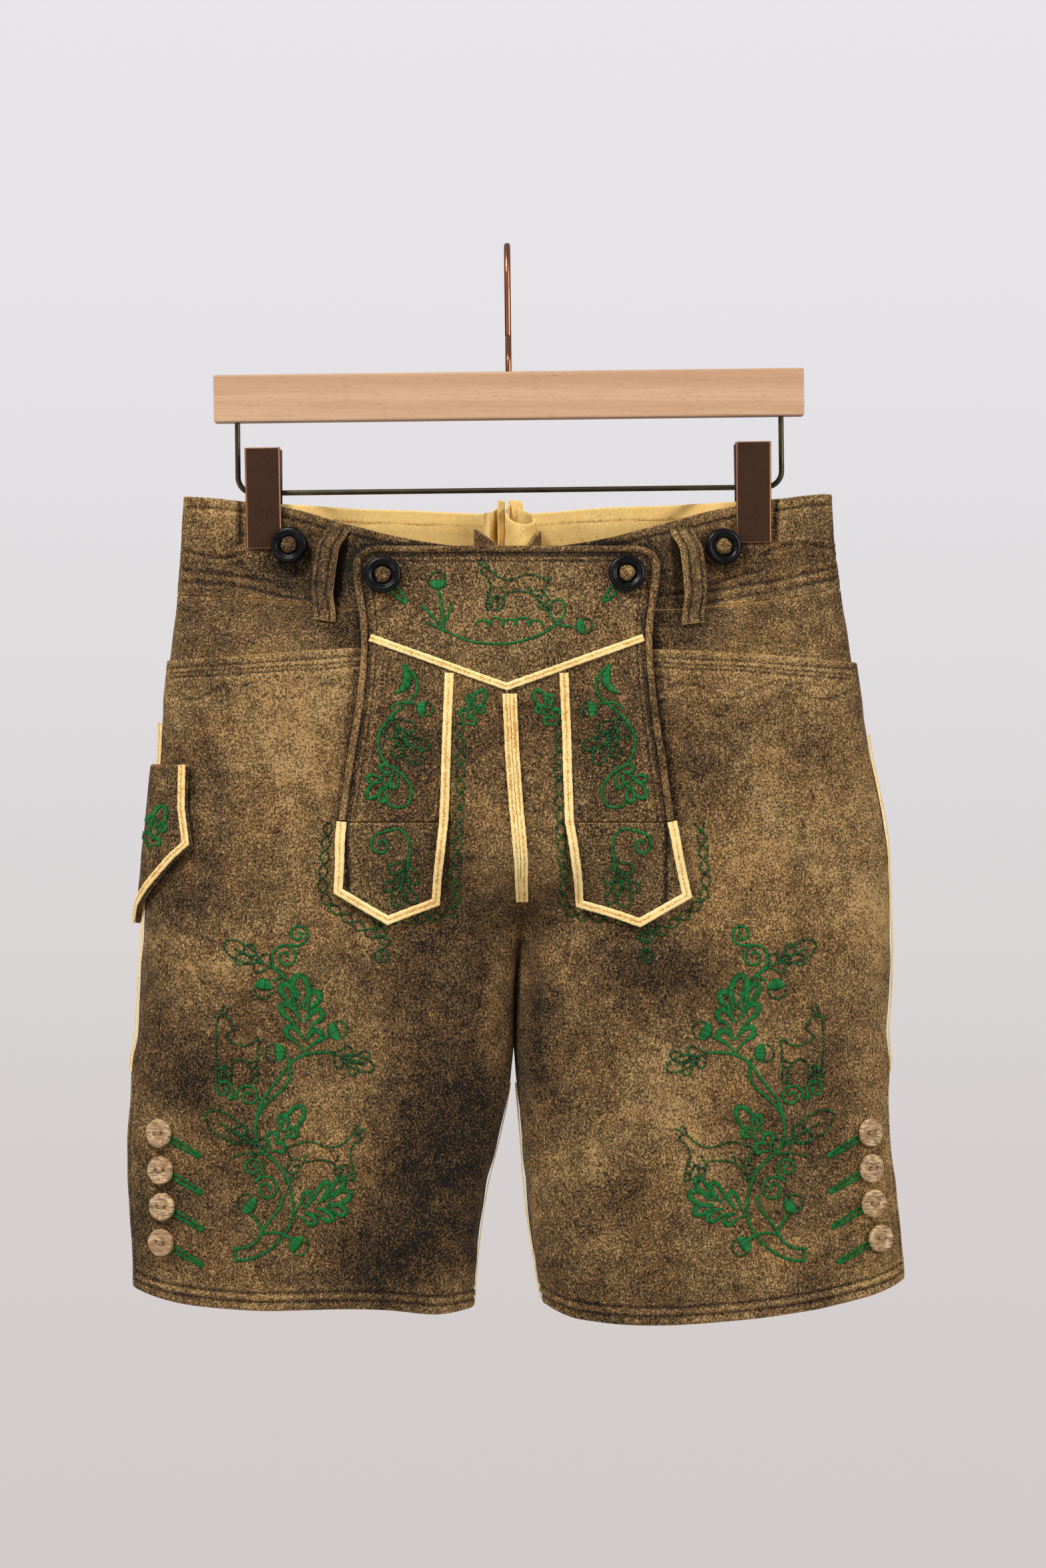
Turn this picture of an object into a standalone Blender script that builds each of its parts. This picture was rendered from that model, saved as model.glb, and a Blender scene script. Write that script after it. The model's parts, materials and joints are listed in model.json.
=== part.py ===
"""Short embroidered leather breeches with a drop front, clipped by the waistband to a
trouser hanger. The origin is the inside of the hook's crown, +Z is up and the front
faces -Y. Every table is in millimetres, and the meshes are made in metres.

The leather follows one form: a ring of front and back curves at each height, for each
half. A place on it is (arc, z, rise): the arc runs from the side fold towards the front,
or backwards where it is negative, and rise is how far a layer stands off the form.
"""

import math

import bmesh
import bpy
import numpy as np
from mathutils import Matrix, Vector

MM = 0.001
LEATHER = 2.2  # thickness of the main leather
TRIM = 1.3  # thickness of the suede trim
SEAM = 0.3  # gap between pieces that are sewn together
TRIM_LIFT = 0.8  # gap between a trim and the leather that it lies on

# ---------------------------------------------------------------- the form's tables

# fold and inner are x of the side fold and of the centre seam or inseam; front and back
# are the depths of the two curves; seam is how far the side seam lies in front of the fold.
SECTION_COLUMNS = ("z", "fold", "inner", "front", "back", "seam")
SECTIONS = {
    "r": [
        (-150, -219.5, 0.0, 34, 27, 4),
        (-206, -222.0, 0.0, 40, 31, 5),
        (-250, -225.0, 0.0, 44, 36, 7),
        (-300, -231.0, 0.0, 47, 43, 9),
        (-350, -236.5, 2.0, 49, 49, 9),
        (-400, -241.5, 6.5, 50, 52, 7),
        (-440, -245.0, 10.0, 50, 50, 6),
        (-470, -247.0, 7.0, 49, 48, 6),
        (-500, -249.0, 4.6, 48, 46, 7),
        (-540, -251.0, 3.6, 46, 44, 8),
        (-570, -252.5, 0.5, 45, 43, 9),
        (-600, -255.5, -5.5, 44, 42, 9),
        (-640, -254.5, -15.0, 43, 42, 8),
        (-680, -252.0, -20.5, 42, 42, 8),
        (-740, -249.0, -24.0, 41, 42, 8),
    ],
    "l": [
        (-150, 220.5, 0.0, 34, 27, 2),
        (-206, 223.0, 0.0, 40, 31, 2),
        (-250, 229.0, 0.0, 44, 36, 2),
        (-300, 236.5, 0.0, 47, 43, 3),
        (-350, 247.5, 2.0, 49, 49, 5),
        (-400, 257.0, 6.5, 50, 52, 5),
        (-440, 259.0, 10.0, 50, 50, 5),
        (-470, 260.0, 7.2, 49, 48, 5),
        (-500, 259.5, 5.2, 48, 46, 5),
        (-540, 257.0, 4.6, 46, 44, 5),
        (-570, 255.5, 7.5, 45, 43, 5),
        (-600, 257.0, 10.0, 44, 42, 5),
        (-640, 261.5, 13.0, 43, 42, 5),
        (-680, 265.5, 18.5, 42, 42, 5),
        (-740, 266.5, 29.0, 41, 42, 5),
    ],
}
SIGN = {"r": -1, "l": 1}
CROTCH_TOP, CROTCH = -400, -492  # where one trunk becomes two legs
FULLNESS = 2.35  # exponent of the rings: 2 is an ellipse, more is boxier

# The clips press the waist flat.
CLIP_X = {"r": -165.0, "l": 167.0}
PINCH_HALF = 3.0  # the form's depth under a clip
PINCH_FLAT = 17.0  # half the width that is pressed quite flat
PINCH_IN = 75.0  # where the pinch has faded, towards the middle
PINCH_OUT_KEEP = 0.62  # how much of it stays, towards the side fold
PINCH_FADE = (-212, -280)

# Soft ridges (+) and troughs (-), each along a line as seen from the front or back.
FOLD_COLUMNS = ("x0", "z0", "x1", "z1", "half_width", "height")
FRONT_FOLDS = [
    (-122, -300, -126, -395, 15, -4.0),
    (124, -300, 128, -385, 15, -3.2),
    (27, -428, 26, -505, 9, 4.0),
    (45, -440, 50, -540, 13, -4.5),
    (-26, -425, -30, -500, 12, 3.2),
    (-205, -436, -150, -470, 9, 2.2),
    (-195, -412, -138, -436, 9, 1.6),
    (-205, -486, -175, -488, 9, 1.8),
    (-66, -520, -58, -690, 22, -5.0),
    (84, -600, 78, -700, 20, -3.0),
    (165, -560, 185, -690, 28, 3.0),
    (150, -330, 170, -420, 30, 3.0),
]
BACK_FOLDS = [
    (-110, -470, -30, -505, 14, -5.0),
    (115, -470, 32, -505, 14, -5.0),
    (-150, -440, -70, -462, 12, 2.6),
    (150, -445, 72, -465, 12, 2.6),
    (-120, -560, -110, -690, 26, -4.0),
    (125, -560, 130, -690, 24, 3.0),
    (-60, -250, -85, -330, 18, -2.6),
    (62, -250, 90, -330, 18, -2.6),
]

# ---------------------------------------------------------------- the pieces' outlines

EDGES = {  # heights of edges, as (x, z)
    "waist_front": [(-222, -168), (-181, -171.5), (-150, -176), (-110, -188), (-60, -200),
                    (0, -206), (60, -200), (110, -187.5), (150, -176.5), (182, -171), (222, -166.5)],
    "waist_back": [(-222, -168), (-150, -173), (-60, -175), (0, -177), (60, -173), (150, -171.5),
                   (222, -166.5)],
    "band_front": [(-226, -235), (-170, -238), (-120, -244), (0, -250), (120, -245), (170, -240),
                   (227, -231)],
    "band_back": [(-226, -235), (-110, -238), (0, -239), (110, -237), (227, -231)],
    "pocket": [(-230, -280), (-162, -276.5), (-90, -272), (90, -273), (166, -276.5), (238, -281.5)],
    "hem_r": [(-256, -700), (-246, -704), (-225, -710), (-183, -714), (-78, -715), (-46, -719),
              (-18, -717)],
    "hem_l": [(24, -715), (40, -721), (60, -723.5), (150, -721.5), (187, -717), (224, -711),
              (250, -704.5), (268, -697)],
}  # fmt: skip
FLAP_EDGE = [(-200, 100), (-223, 100), (-262, 96.5), (-300, 98.5), (-350, 105.5), (-388, 110.5)]
STRIP_IN = [(-280, 37.5), (-340, 40.0), (-388, 41.5), (-445, 47.5)]
YOKE_V = [(0, -298.8), (88, -267)]  # the yoke's lower edge, as (|x|, z)
FLAP_TOP, FLAP_CORNER, FLAP_END = -204.6, 13.0, -388.0
BINDING = 5.0
FLAP_RISE = 6.0
POCKET_RISE = 3.5
SLIT_IN = 7.0  # how far the leg's front runs on behind the flap
UNDER_RISE = 2.2  # the leg's leather under a shield
OVERLAP = 16.0  # how far the hip facing runs down behind the pocket's edge
VENT = -566.0
VENT_RISE, VENT_LAP = 2.9, 10.0
SHIELD_COLUMNS = ("outer_top", "outer_low", "tip", "inner_low")
SHIELDS = {
    "r": ((-110.8, -388.6), (-115.0, -436.0), (-79.5, -457.5), (-46.5, -443.0)),
    "l": ((111.5, -388.6), (123.0, -439.0), (89.0, -459.0), (49.5, -443.5)),
}
TRIM_WIDTH = 6.0
KNIFE_POCKET = [(-350, 38), (-380, 41), (-404, 47), (-415, 35), (-432, 22), (-448, 10), (-458, 3.5)]
KNIFE_RISE = 5.4

# ---------------------------------------------------------------- curves and the form


def smooth(low, high, value):
    """0 at low, 1 at high, with soft ends."""
    t = np.clip((np.asarray(value, float) - low) / (high - low), 0, 1)
    return t * t * (3 - 2 * t)


def through(table, at):
    """A soft curve through a table's two columns."""
    xs, ys = np.array(sorted(table), float).T
    slopes = np.gradient(ys, xs)
    at = np.clip(at, xs[0], xs[-1])
    i = np.clip(np.searchsorted(xs, at) - 1, 0, len(xs) - 2)
    step = xs[i + 1] - xs[i]
    t = (at - xs[i]) / step
    return (
        (2 * t**3 - 3 * t**2 + 1) * ys[i]
        + (t**3 - 2 * t**2 + t) * step * slopes[i]
        + (3 * t**2 - 2 * t**3) * ys[i + 1]
        + (t**3 - t**2) * step * slopes[i + 1]
    )


def edge(name, x):
    return through(EDGES[name], x)


def folds_at(rows, x, z):
    """How far the soft folds raise the form."""
    total = np.zeros_like(x)
    for x0, z0, x1, z1, half_width, height in rows:
        along = np.array([x1 - x0, z1 - z0], float)
        t = np.clip(((x - x0) * along[0] + (z - z0) * along[1]) / (along @ along), 0, 1)
        away = np.hypot(x - x0 - t * along[0], z - z0 - t * along[1])
        total = total + height * np.exp(-((away / half_width) ** 2))
    return total


def quarter(turn, power):
    """A superellipse's cosine and sine."""
    c, s = np.cos(turn), np.sin(turn)
    return np.sign(c) * np.abs(c) ** power, np.abs(s) ** power


class Half:
    """One half of the leather form, sampled by height and by place round the ring."""

    HEIGHTS = np.arange(-740, -149, 3.0)
    TURNS = np.linspace(-1, 1, 161)  # -1 is the back's inner edge, 0 the fold, 1 the front's

    def __init__(self, side):
        self.side = side
        rows = SECTIONS[side]
        self.column = {
            name: through([(row[0], row[k]) for row in rows], self.HEIGHTS)
            for k, name in enumerate(SECTION_COLUMNS)
        }
        x, y = self.rings()
        length = np.hypot(np.diff(x, axis=1), np.diff(y, axis=1))
        arc = np.concatenate([np.zeros((len(x), 1)), np.cumsum(length, axis=1)], axis=1)
        arc -= arc[:, [len(self.TURNS) // 2]]
        self.front_length, self.back_length = arc[:, -1], -arc[:, 0]
        # The rings again, at even steps of arc on the front and on the back.
        self.share = np.linspace(-1, 1, 241)
        at = np.where(
            self.share > 0,
            self.share * self.front_length[:, None],
            self.share * self.back_length[:, None],
        )
        self.x = np.array([np.interp(a, s, v) for a, s, v in zip(at, arc, x)])
        self.y = np.array([np.interp(a, s, v) for a, s, v in zip(at, arc, y)])

    def rings(self):
        """Points of every ring, a row for each height."""
        c = {k: v[:, None] for k, v in self.column.items()}
        turn, front = np.abs(self.TURNS)[None, :], self.TURNS[None, :] > 0
        leg = smooth(CROTCH_TOP, CROTCH, c["z"])
        power = 2 / FULLNESS
        trunk_c, trunk_s = quarter(turn * math.pi / 2, power)
        leg_c, leg_s = quarter(turn * math.pi, power)
        across = (1 - leg) * (1 - trunk_c) + leg * (1 - leg_c) / 2
        x = c["fold"] + (c["inner"] - c["fold"]) * across
        deep = (1 - leg) * trunk_s + leg * leg_s
        y = np.where(front, c["front"], c["back"]) * deep
        y = self.pinched(x, y, c["z"])
        soft = smooth(2, 22, y)
        bumps = np.where(front, folds_at(FRONT_FOLDS, x, c["z"]), folds_at(BACK_FOLDS, x, c["z"]))
        return x, np.where(front, -1, 1) * (y + soft * bumps)

    def pinched(self, x, y, z):
        """The clip presses front and back together, less and less away from it."""
        away = (x - CLIP_X[self.side]) * -SIGN[self.side]  # towards the middle is positive
        inward = 1 - smooth(PINCH_FLAT, PINCH_IN, away)
        outward = 1 - (1 - PINCH_OUT_KEEP) * smooth(PINCH_FLAT, 2.0 * PINCH_FLAT, -away)
        hold = np.where(away > 0, inward, outward) * smooth(*PINCH_FADE[::-1], z)
        return np.where(y > PINCH_HALF, y + (PINCH_HALF - y) * hold, y)

    def value(self, name, z):
        return np.interp(z, self.HEIGHTS, self.column[name])

    def lengths(self, z):
        return (
            np.interp(z, self.HEIGHTS, self.front_length),
            np.interp(z, self.HEIGHTS, self.back_length),
        )

    def grid(self, values, arc, z):
        """Bilinear look-up in a table over height and share of the ring."""
        front, back = self.lengths(z)
        share = np.clip(np.where(arc > 0, arc / front, arc / back), -1, 1)
        column = (share + 1) / 2 * (len(self.share) - 1)
        row = (np.clip(z, -740, -152) + 740) / 3.0
        i, j = np.floor(row).astype(int), np.minimum(np.floor(column).astype(int), 239)
        u, v = row - i, column - j
        low = values[i, j] * (1 - v) + values[i, j + 1] * v
        high = values[i + 1, j] * (1 - v) + values[i + 1, j + 1] * v
        return low * (1 - u) + high * u

    def point(self, arc, z):
        arc, z = np.broadcast_arrays(np.asarray(arc, float), np.asarray(z, float))
        return np.stack([self.grid(self.x, arc, z), self.grid(self.y, arc, z), z], axis=-1)

    def place(self, arc, z, rise=0.0):
        """The point that stands off the form by rise."""
        step = 2.0
        front, back = self.lengths(z)
        before, after = np.maximum(arc - step, -back), np.minimum(arc + step, front)
        along = self.point(after, z) - self.point(before, z)
        up = self.point(arc, np.asarray(z) + step) - self.point(arc, np.asarray(z) - step)
        out = np.cross(along, up) * SIGN[self.side]
        out /= np.linalg.norm(out, axis=-1, keepdims=True)
        outward = np.where(np.asarray(arc) >= 0, -1.0, 1.0)
        flip = np.sign((out[..., 1] * outward) + 1e-9)
        near_edge = np.abs(out[..., 1]) < 0.25
        side = np.where(np.abs(arc) < 0.5 * front, SIGN[self.side], -SIGN[self.side])
        flip = np.where(near_edge, np.sign(out[..., 0] * side + 1e-9), flip)
        out *= flip[..., None]
        return self.point(arc, z) + out * np.asarray(rise, float)[..., None]

    def front_arc(self, x, z):
        """The arc at which the front of this half passes x."""
        x, z = np.broadcast_arrays(np.asarray(x, float), np.asarray(z, float))
        shares = np.linspace(0, 1, 121)
        found = np.empty(x.shape)
        for k in np.ndindex(x.shape):
            length = self.lengths(z[k])[0]
            row = self.grid(self.x, shares * length, np.full(121, z[k]))
            order = slice(None, None, -SIGN[self.side])
            found[k] = np.interp(x[k], row[order], (shares * length)[order])
        return found


FORM = {side: Half(side) for side in SIGN}


def on_front(x, z, rise):
    """A point in front of the form, from its place as seen from the front."""
    x, z, rise = np.broadcast_arrays(*(np.asarray(v, float) for v in (x, z, rise)))
    out = np.empty(x.shape + (3,))
    for side in SIGN:
        centre = np.minimum(FORM["l"].value("inner", z), FORM["r"].value("inner", z) + 50)
        mine = (x >= centre) == (side == "l")
        arc = FORM[side].front_arc(x[mine], z[mine])
        out[mine] = FORM[side].place(arc, z[mine], rise[mine])
    return out


# ---------------------------------------------------------------- mesh helpers


def finish(bm, name, material, round_it=True):
    """A bmesh in metres becomes the named object."""
    bmesh.ops.recalc_face_normals(bm, faces=bm.faces)
    if bm.calc_volume(signed=True) < 0:
        bmesh.ops.reverse_faces(bm, faces=bm.faces)
    mesh = bpy.data.meshes.new(name)
    bm.to_mesh(mesh)
    bm.free()
    if round_it:
        mesh.shade_smooth()
        mesh.set_sharp_from_angle(angle=math.radians(50))
    mesh.materials.append(material)
    obj = bpy.data.objects.new(name, mesh)
    bpy.context.scene.collection.objects.link(obj)
    return obj


def wall(name, material, outer, inner, present=None):
    """A closed wall between two grids of points. present leaves out cells of the grid."""
    rows, columns = outer.shape[:2]
    present = np.ones((rows - 1, columns - 1), bool) if present is None else present
    bm = bmesh.new()
    skins = [{}, {}]
    points = (outer, inner)

    def vertex(skin, j, i):
        if (j, i) not in skins[skin]:
            skins[skin][j, i] = bm.verts.new(points[skin][j, i] * MM)
        return skins[skin][j, i]

    rims = {}
    for j, i in zip(*np.nonzero(present)):
        corners = [(j, i), (j, i + 1), (j + 1, i + 1), (j + 1, i)]
        bm.faces.new([vertex(0, *c) for c in corners])
        bm.faces.new([vertex(1, *c) for c in reversed(corners)])
        for a, b in zip(corners, corners[1:] + corners[:1]):
            rims[frozenset((a, b))] = None if frozenset((a, b)) in rims else (a, b)
    for a, b in filter(None, rims.values()):
        bm.faces.new([vertex(0, *b), vertex(0, *a), vertex(1, *a), vertex(1, *b)])
    return finish(bm, name, material)


def panel(name, material, side, arc, z, rise, thickness=LEATHER, present=None):
    form = FORM[side]
    outer = form.place(arc, z, rise)
    inner = form.place(arc, z, rise - thickness)
    return wall(name, material, outer, inner, present)


def offset_line(line, width):
    """The line's points moved sideways, with mitred corners."""
    line = np.asarray(line, float)
    direction = np.diff(line, axis=0)
    direction /= np.linalg.norm(direction, axis=1, keepdims=True)
    normal = np.stack([-direction[:, 1], direction[:, 0]], axis=1)
    before, after = np.vstack([normal[:1], normal]), np.vstack([normal, normal[-1:]])
    middle = before + after
    middle /= np.linalg.norm(middle, axis=1, keepdims=True)
    reach = 1 / np.maximum((middle * before).sum(1), 0.35)
    return line + middle * reach[:, None] * width


def densify(line, step):
    """Points added along straight stretches, so that a strip can bend with the form."""
    out = [np.asarray(line[0], float)]
    for a, b in zip(line[:-1], line[1:]):
        a, b = np.asarray(a, float), np.asarray(b, float)
        count = max(1, round(np.linalg.norm(b - a) / step))
        out += [a + (b - a) * k / count for k in range(1, count + 1)]
    return np.array(out)


def ribbon(name, material, line, width, low, high, surface=on_front, step=22):
    """A strip that lies on the form along a line, between two rises."""
    line = densify(line, step)
    left, right = offset_line(line, width / 2), offset_line(line, -width / 2)
    low, high = np.broadcast_to(low, len(line)), np.broadcast_to(high, len(line))
    outer = np.stack([surface(*left.T, high), surface(*right.T, high)])
    inner = np.stack([surface(*left.T, low), surface(*right.T, low)])
    return wall(name, material, outer, inner)


def finish_material(name, colour, roughness, metallic=0.0):
    material = bpy.data.materials.new(name)
    material.use_nodes = True
    shader = material.node_tree.nodes["Principled BSDF"]
    shader.inputs["Base Color"].default_value = (*colour, 1)
    shader.inputs["Roughness"].default_value = roughness
    shader.inputs["Metallic"].default_value = metallic
    return material


# ---------------------------------------------------------------- the leather panels


def levels(top, bottom, heights, low_rows, high_rows):
    """Heights of a panel's rows in one column: from its lower edge up to its upper one."""
    rows = [bottom + (heights[0] - bottom) * k / low_rows for k in range(low_rows)]
    rows += list(heights)
    rows += [heights[-1] + (top - heights[-1]) * k / high_rows for k in range(1, high_rows + 1)]
    return rows


def flap_lift(x, z):
    """How far the leg's front rises towards the flap that it turns into."""
    grown = smooth(-460, FLAP_END, z)
    middle = 1 - smooth(36, 43.5, abs(x))
    under = 1 - smooth(98, 114, abs(x))
    return grown * (FLAP_RISE * middle + UNDER_RISE * (1 - middle) * under)


def leg_rise(x, past_seam, z):
    """The rise of the leg's front, outside the flap."""
    pocket = POCKET_RISE * smooth(-350, -305, z)
    vent = VENT_RISE * smooth(VENT + 40, VENT + 10, z) * (1 - smooth(12, 50, past_seam))
    return np.maximum(pocket, vent)


LEG_HEIGHTS = (-578, -556, -526, -497, -482, -464, -440, -415, FLAP_END)
SIDE_CELLS, SHIELD_CELLS, MIDDLE_CELLS = 7, 3, 5


def leg_columns(side, z, start, x_slit, x_strip):
    """Arcs of the columns of a leg's front at one height."""
    form = FORM[side]
    end = form.lengths(z)[0] - SEAM
    slit, strip = form.front_arc(x_slit, z), form.front_arc(x_strip, z)
    outer = start + (slit - start) * np.linspace(0, 1, SIDE_CELLS + 1) ** 1.5
    under = np.linspace(slit, strip, SHIELD_CELLS + 1)
    middle = strip + (end - strip) * (1 - (1 - np.linspace(0, 1, MIDDLE_CELLS + 1)) ** 1.5)
    return np.concatenate([outer, under[1:], middle[1:]])


def leg_front(side, material):
    """From the hem up to the pocket's edge outside the flap, and to the yoke within it."""
    form, sign = FORM[side], SIGN[side]
    low_rows, high_rows = 4, 4
    total = low_rows + len(LEG_HEIGHTS) + high_rows
    columns = SIDE_CELLS + SHIELD_CELLS + MIDDLE_CELLS + 1
    arc, z, rise = (np.empty((total, columns)) for _ in range(3))
    hem_arc = leg_columns(side, -700, form.value("seam", -700), sign * 103, sign * 50)
    hem = edge("hem_" + side, form.point(hem_arc, -700.0)[:, 0])
    for i in range(columns):
        in_flap = i >= SIDE_CELLS + SHIELD_CELLS
        for j in range(total):
            if j < low_rows:
                height = hem[i] + (LEG_HEIGHTS[0] - hem[i]) * j / low_rows
            elif j < low_rows + len(LEG_HEIGHTS):
                height = LEG_HEIGHTS[j - low_rows]
            else:
                share = (j - low_rows - len(LEG_HEIGHTS) + 1) / high_rows
                height = FLAP_END + (leg_top(side, i, in_flap) - FLAP_END) * share
            x_slit = sign * (through(FLAP_EDGE, height) - SLIT_IN)
            x_strip = sign * through(STRIP_IN, height)
            if in_flap and j >= low_rows + len(LEG_HEIGHTS):
                x_strip -= sign * SEAM / 2
            start = form.value("seam", height) + SEAM / 2
            arc[j, i] = leg_columns(side, height, start, x_slit, x_strip)[i]
            z[j, i] = height
            x = form.point(arc[j, i], height)[0]
            if j >= low_rows + len(LEG_HEIGHTS):
                rise[j, i] = FLAP_RISE if in_flap else leg_rise(x, arc[j, i] - start, height)
            else:
                rise[j, i] = max(flap_lift(x, height), leg_rise(x, arc[j, i] - start, height))
    z[low_rows + len(LEG_HEIGHTS) - 1, SIDE_CELLS + 1 : SIDE_CELLS + SHIELD_CELLS] -= SEAM / 2
    present = np.ones((total - 1, columns - 1), bool)
    present[low_rows + len(LEG_HEIGHTS) - 1 :, SIDE_CELLS : SIDE_CELLS + SHIELD_CELLS] = False
    return panel(f"leg_front_{side}", material, side, arc, z, rise, present=present)


def leg_top(side, column, in_flap):
    """The upper edge of a leg's front, which follows the pocket or the yoke."""
    form, sign = FORM[side], SIGN[side]
    height = -290 if in_flap else -280
    start = form.value("seam", height)
    x_slit = sign * (through(FLAP_EDGE, height) - SLIT_IN)
    arc = leg_columns(side, height, start, x_slit, sign * through(STRIP_IN, height))[column]
    x = form.point(arc, height)[0]
    if in_flap:
        return yoke_edge(x) - SEAM
    return edge("pocket", x)


def yoke_edge(x):
    (_, middle), (out, high) = YOKE_V
    return middle + (high - middle) * np.abs(x) / out


def spread(start, end, cells, ease):
    """Shares of an arc, closer together at both ends."""
    t = np.linspace(0, 1, cells + 1)
    eased = 0.5 - 0.5 * np.cos(math.pi * t)
    return start + (end - start) * ((1 - ease) * t + ease * eased)


BACK_CELLS = 13
BACK_HEIGHTS = (-578, -556, -526, -497, -482, -464, -440, -400, -350, -300)


def leg_back(side, material):
    """From the hem up to the waistband, and from the side seam to the centre back."""
    form = FORM[side]
    hem_arc = spread(8, -form.lengths(-700)[1], BACK_CELLS, 0.6)
    hem = edge("hem_" + side, form.point(hem_arc, -700.0)[:, 0])
    top_arc = spread(4, -form.lengths(KNOTS_AT)[1], BACK_CELLS, 0.6)
    top = edge("band_back", form.point(top_arc, KNOTS_AT)[:, 0]) - SEAM
    columns = [levels(top[i], hem[i], BACK_HEIGHTS, 4, 2) for i in range(BACK_CELLS + 1)]
    z = np.array(columns).T
    arc = np.empty_like(z)
    for j, i in np.ndindex(z.shape):
        lap = VENT_LAP if z[j, i] <= LEG_HEIGHTS[0] else -SEAM / 2
        start = form.value("seam", z[j, i]) + lap
        end = -form.lengths(z[j, i])[1] + SEAM
        arc[j, i] = spread(start, end, BACK_CELLS, 0.6)[i]
    return panel(f"leg_back_{side}", material, side, arc, z, np.zeros_like(z))


KNOTS_AT = -240.0  # the height at which columns of neighbouring pieces are matched


def front_grid(side, top_name, low, cells, rows, end_gap=SEAM / 2):
    """Arcs and heights of a piece that spans the front from side seam to centre."""
    form = FORM[side]
    z = np.empty((rows + 1, cells + 1))
    arc = np.empty_like(z)
    start, end = form.value("seam", KNOTS_AT), form.lengths(KNOTS_AT)[0]
    x = form.point(start + (end - start) * np.linspace(0, 1, cells + 1) ** 1.3, KNOTS_AT)[:, 0]
    for j, i in np.ndindex(z.shape):
        z[j, i] = low(x[i]) + (edge(top_name, x[i]) - low(x[i])) * j / rows
        start = form.value("seam", z[j, i]) + SEAM / 2
        end = form.lengths(z[j, i])[0] - end_gap
        arc[j, i] = start + (end - start) * (i / cells) ** 1.3
    return arc, z


def waistband_front(side, material):
    arc, z = front_grid(side, "waist_front", lambda x: edge("band_front", x) + SEAM / 2, 13, 3)
    return panel(f"waistband_front_{side}", material, side, arc, z, np.zeros_like(z))


def hip_facing(side, material):
    """Shows between waistband and pocket, and runs a little way down behind the pocket."""
    arc, z = front_grid(side, "band_front", lambda x: edge("pocket", x) - OVERLAP, 13, 3)
    return panel(f"hip_facing_{side}", material, side, arc, z - SEAM / 2, np.zeros_like(z))


NOTCH_HALF, NOTCH_END = 13.0, -232.0


def waistband_back(side, material):
    """Ends at the centre back in a notch, narrower downwards."""
    form, cells, rows = FORM[side], BACK_CELLS, 3
    z = np.empty((rows + 1, cells + 1))
    arc = np.empty_like(z)
    top_arc = spread(4, -form.lengths(KNOTS_AT)[1], cells, 0.6)
    x = form.point(top_arc, KNOTS_AT)[:, 0]
    for j, i in np.ndindex(z.shape):
        low = edge("band_back", x[i]) + SEAM / 2
        z[j, i] = low + (edge("waist_back", x[i]) - low) * j / rows
        notch = NOTCH_HALF * np.clip((z[j, i] - NOTCH_END) / (-177 - NOTCH_END), 0, 1)
        start = form.value("seam", z[j, i]) - SEAM / 2
        end = -form.lengths(z[j, i])[1] + SEAM / 2 + notch
        arc[j, i] = spread(start, end, cells, 0.6)[i]
    return panel(f"waistband_back_{side}", material, side, arc, z, np.zeros_like(z))


# ---------------------------------------------------------------- the drop front


def front_piece(name, material, x, z, rise, thickness=LEATHER):
    return wall(name, material, on_front(x, z, rise), on_front(x, z, rise - thickness))


def flap_yoke(material):
    """The top of the drop front, down to its pointed lower edge."""
    cells, rows = 14, 4
    across = np.linspace(-1, 1, cells + 1)
    x, z = np.empty((rows + 1, cells + 1)), np.empty((rows + 1, cells + 1))
    half = FLAP_EDGE[0][1] - BINDING - SEAM / 2
    radius = FLAP_CORNER - BINDING
    for j, i in np.ndindex(x.shape):
        low = yoke_edge(across[i] * 91) + SEAM / 2
        past = max(0.0, abs(across[i]) * half - (half - radius))
        high = FLAP_TOP - BINDING - (radius - math.sqrt(max(0, radius**2 - past**2)))
        z[j, i] = low + (high - low) * j / rows
        x[j, i] = across[i] * (through(FLAP_EDGE, z[j, i]) - BINDING - SEAM / 2)
    return front_piece("flap_yoke", material, x, z, np.full_like(x, FLAP_RISE))


def flap_strip(side, material):
    """The dark strip on each side of the drop front, above its shield."""
    cells, rows, sign = 4, 5, SIGN[side]
    x, z = np.empty((rows + 1, cells + 1)), np.empty((rows + 1, cells + 1))
    for j, i in np.ndindex(x.shape):
        out = 91 + (37.5 - 91) * i / cells
        low, high = FLAP_END + SEAM / 2, yoke_edge(out) - SEAM / 2
        z[j, i] = low + (high - low) * j / rows
        near = through(STRIP_IN, z[j, i]) + SEAM / 2
        far = through(FLAP_EDGE, z[j, i]) - BINDING
        x[j, i] = sign * (far + (near - far) * i / cells)
    return front_piece(f"flap_strip_{side}", material, x, z, np.full_like(x, FLAP_RISE))


def shield_rise(z):
    """The shield starts level with the strip and comes down onto the leg."""
    return UNDER_RISE * smooth(-460, FLAP_END, z) + FLAP_RISE - UNDER_RISE


def shield(side, material):
    """The pointed end of a strip, sewn onto the leg."""
    cells, rows = 8, 5
    outer_top, outer_low, tip, inner_low = (np.array(p) for p in SHIELDS[side])
    inner_top = np.array([SIGN[side] * (STRIP_IN[2][1] + 2.5), outer_top[1]])
    x, z = np.empty((rows + 1, cells + 1)), np.empty((rows + 1, cells + 1))
    for j, i in np.ndindex(x.shape):
        t = i / cells
        low = outer_low + (tip - outer_low) * 2 * t if t <= 0.5 else tip + (inner_low - tip) * (2 * t - 1)
        high = outer_top + (inner_top - outer_top) * t
        x[j, i], z[j, i] = low + (high - low) * j / rows
    return front_piece(f"shield_{side}", material, x, z, shield_rise(z))


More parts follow.
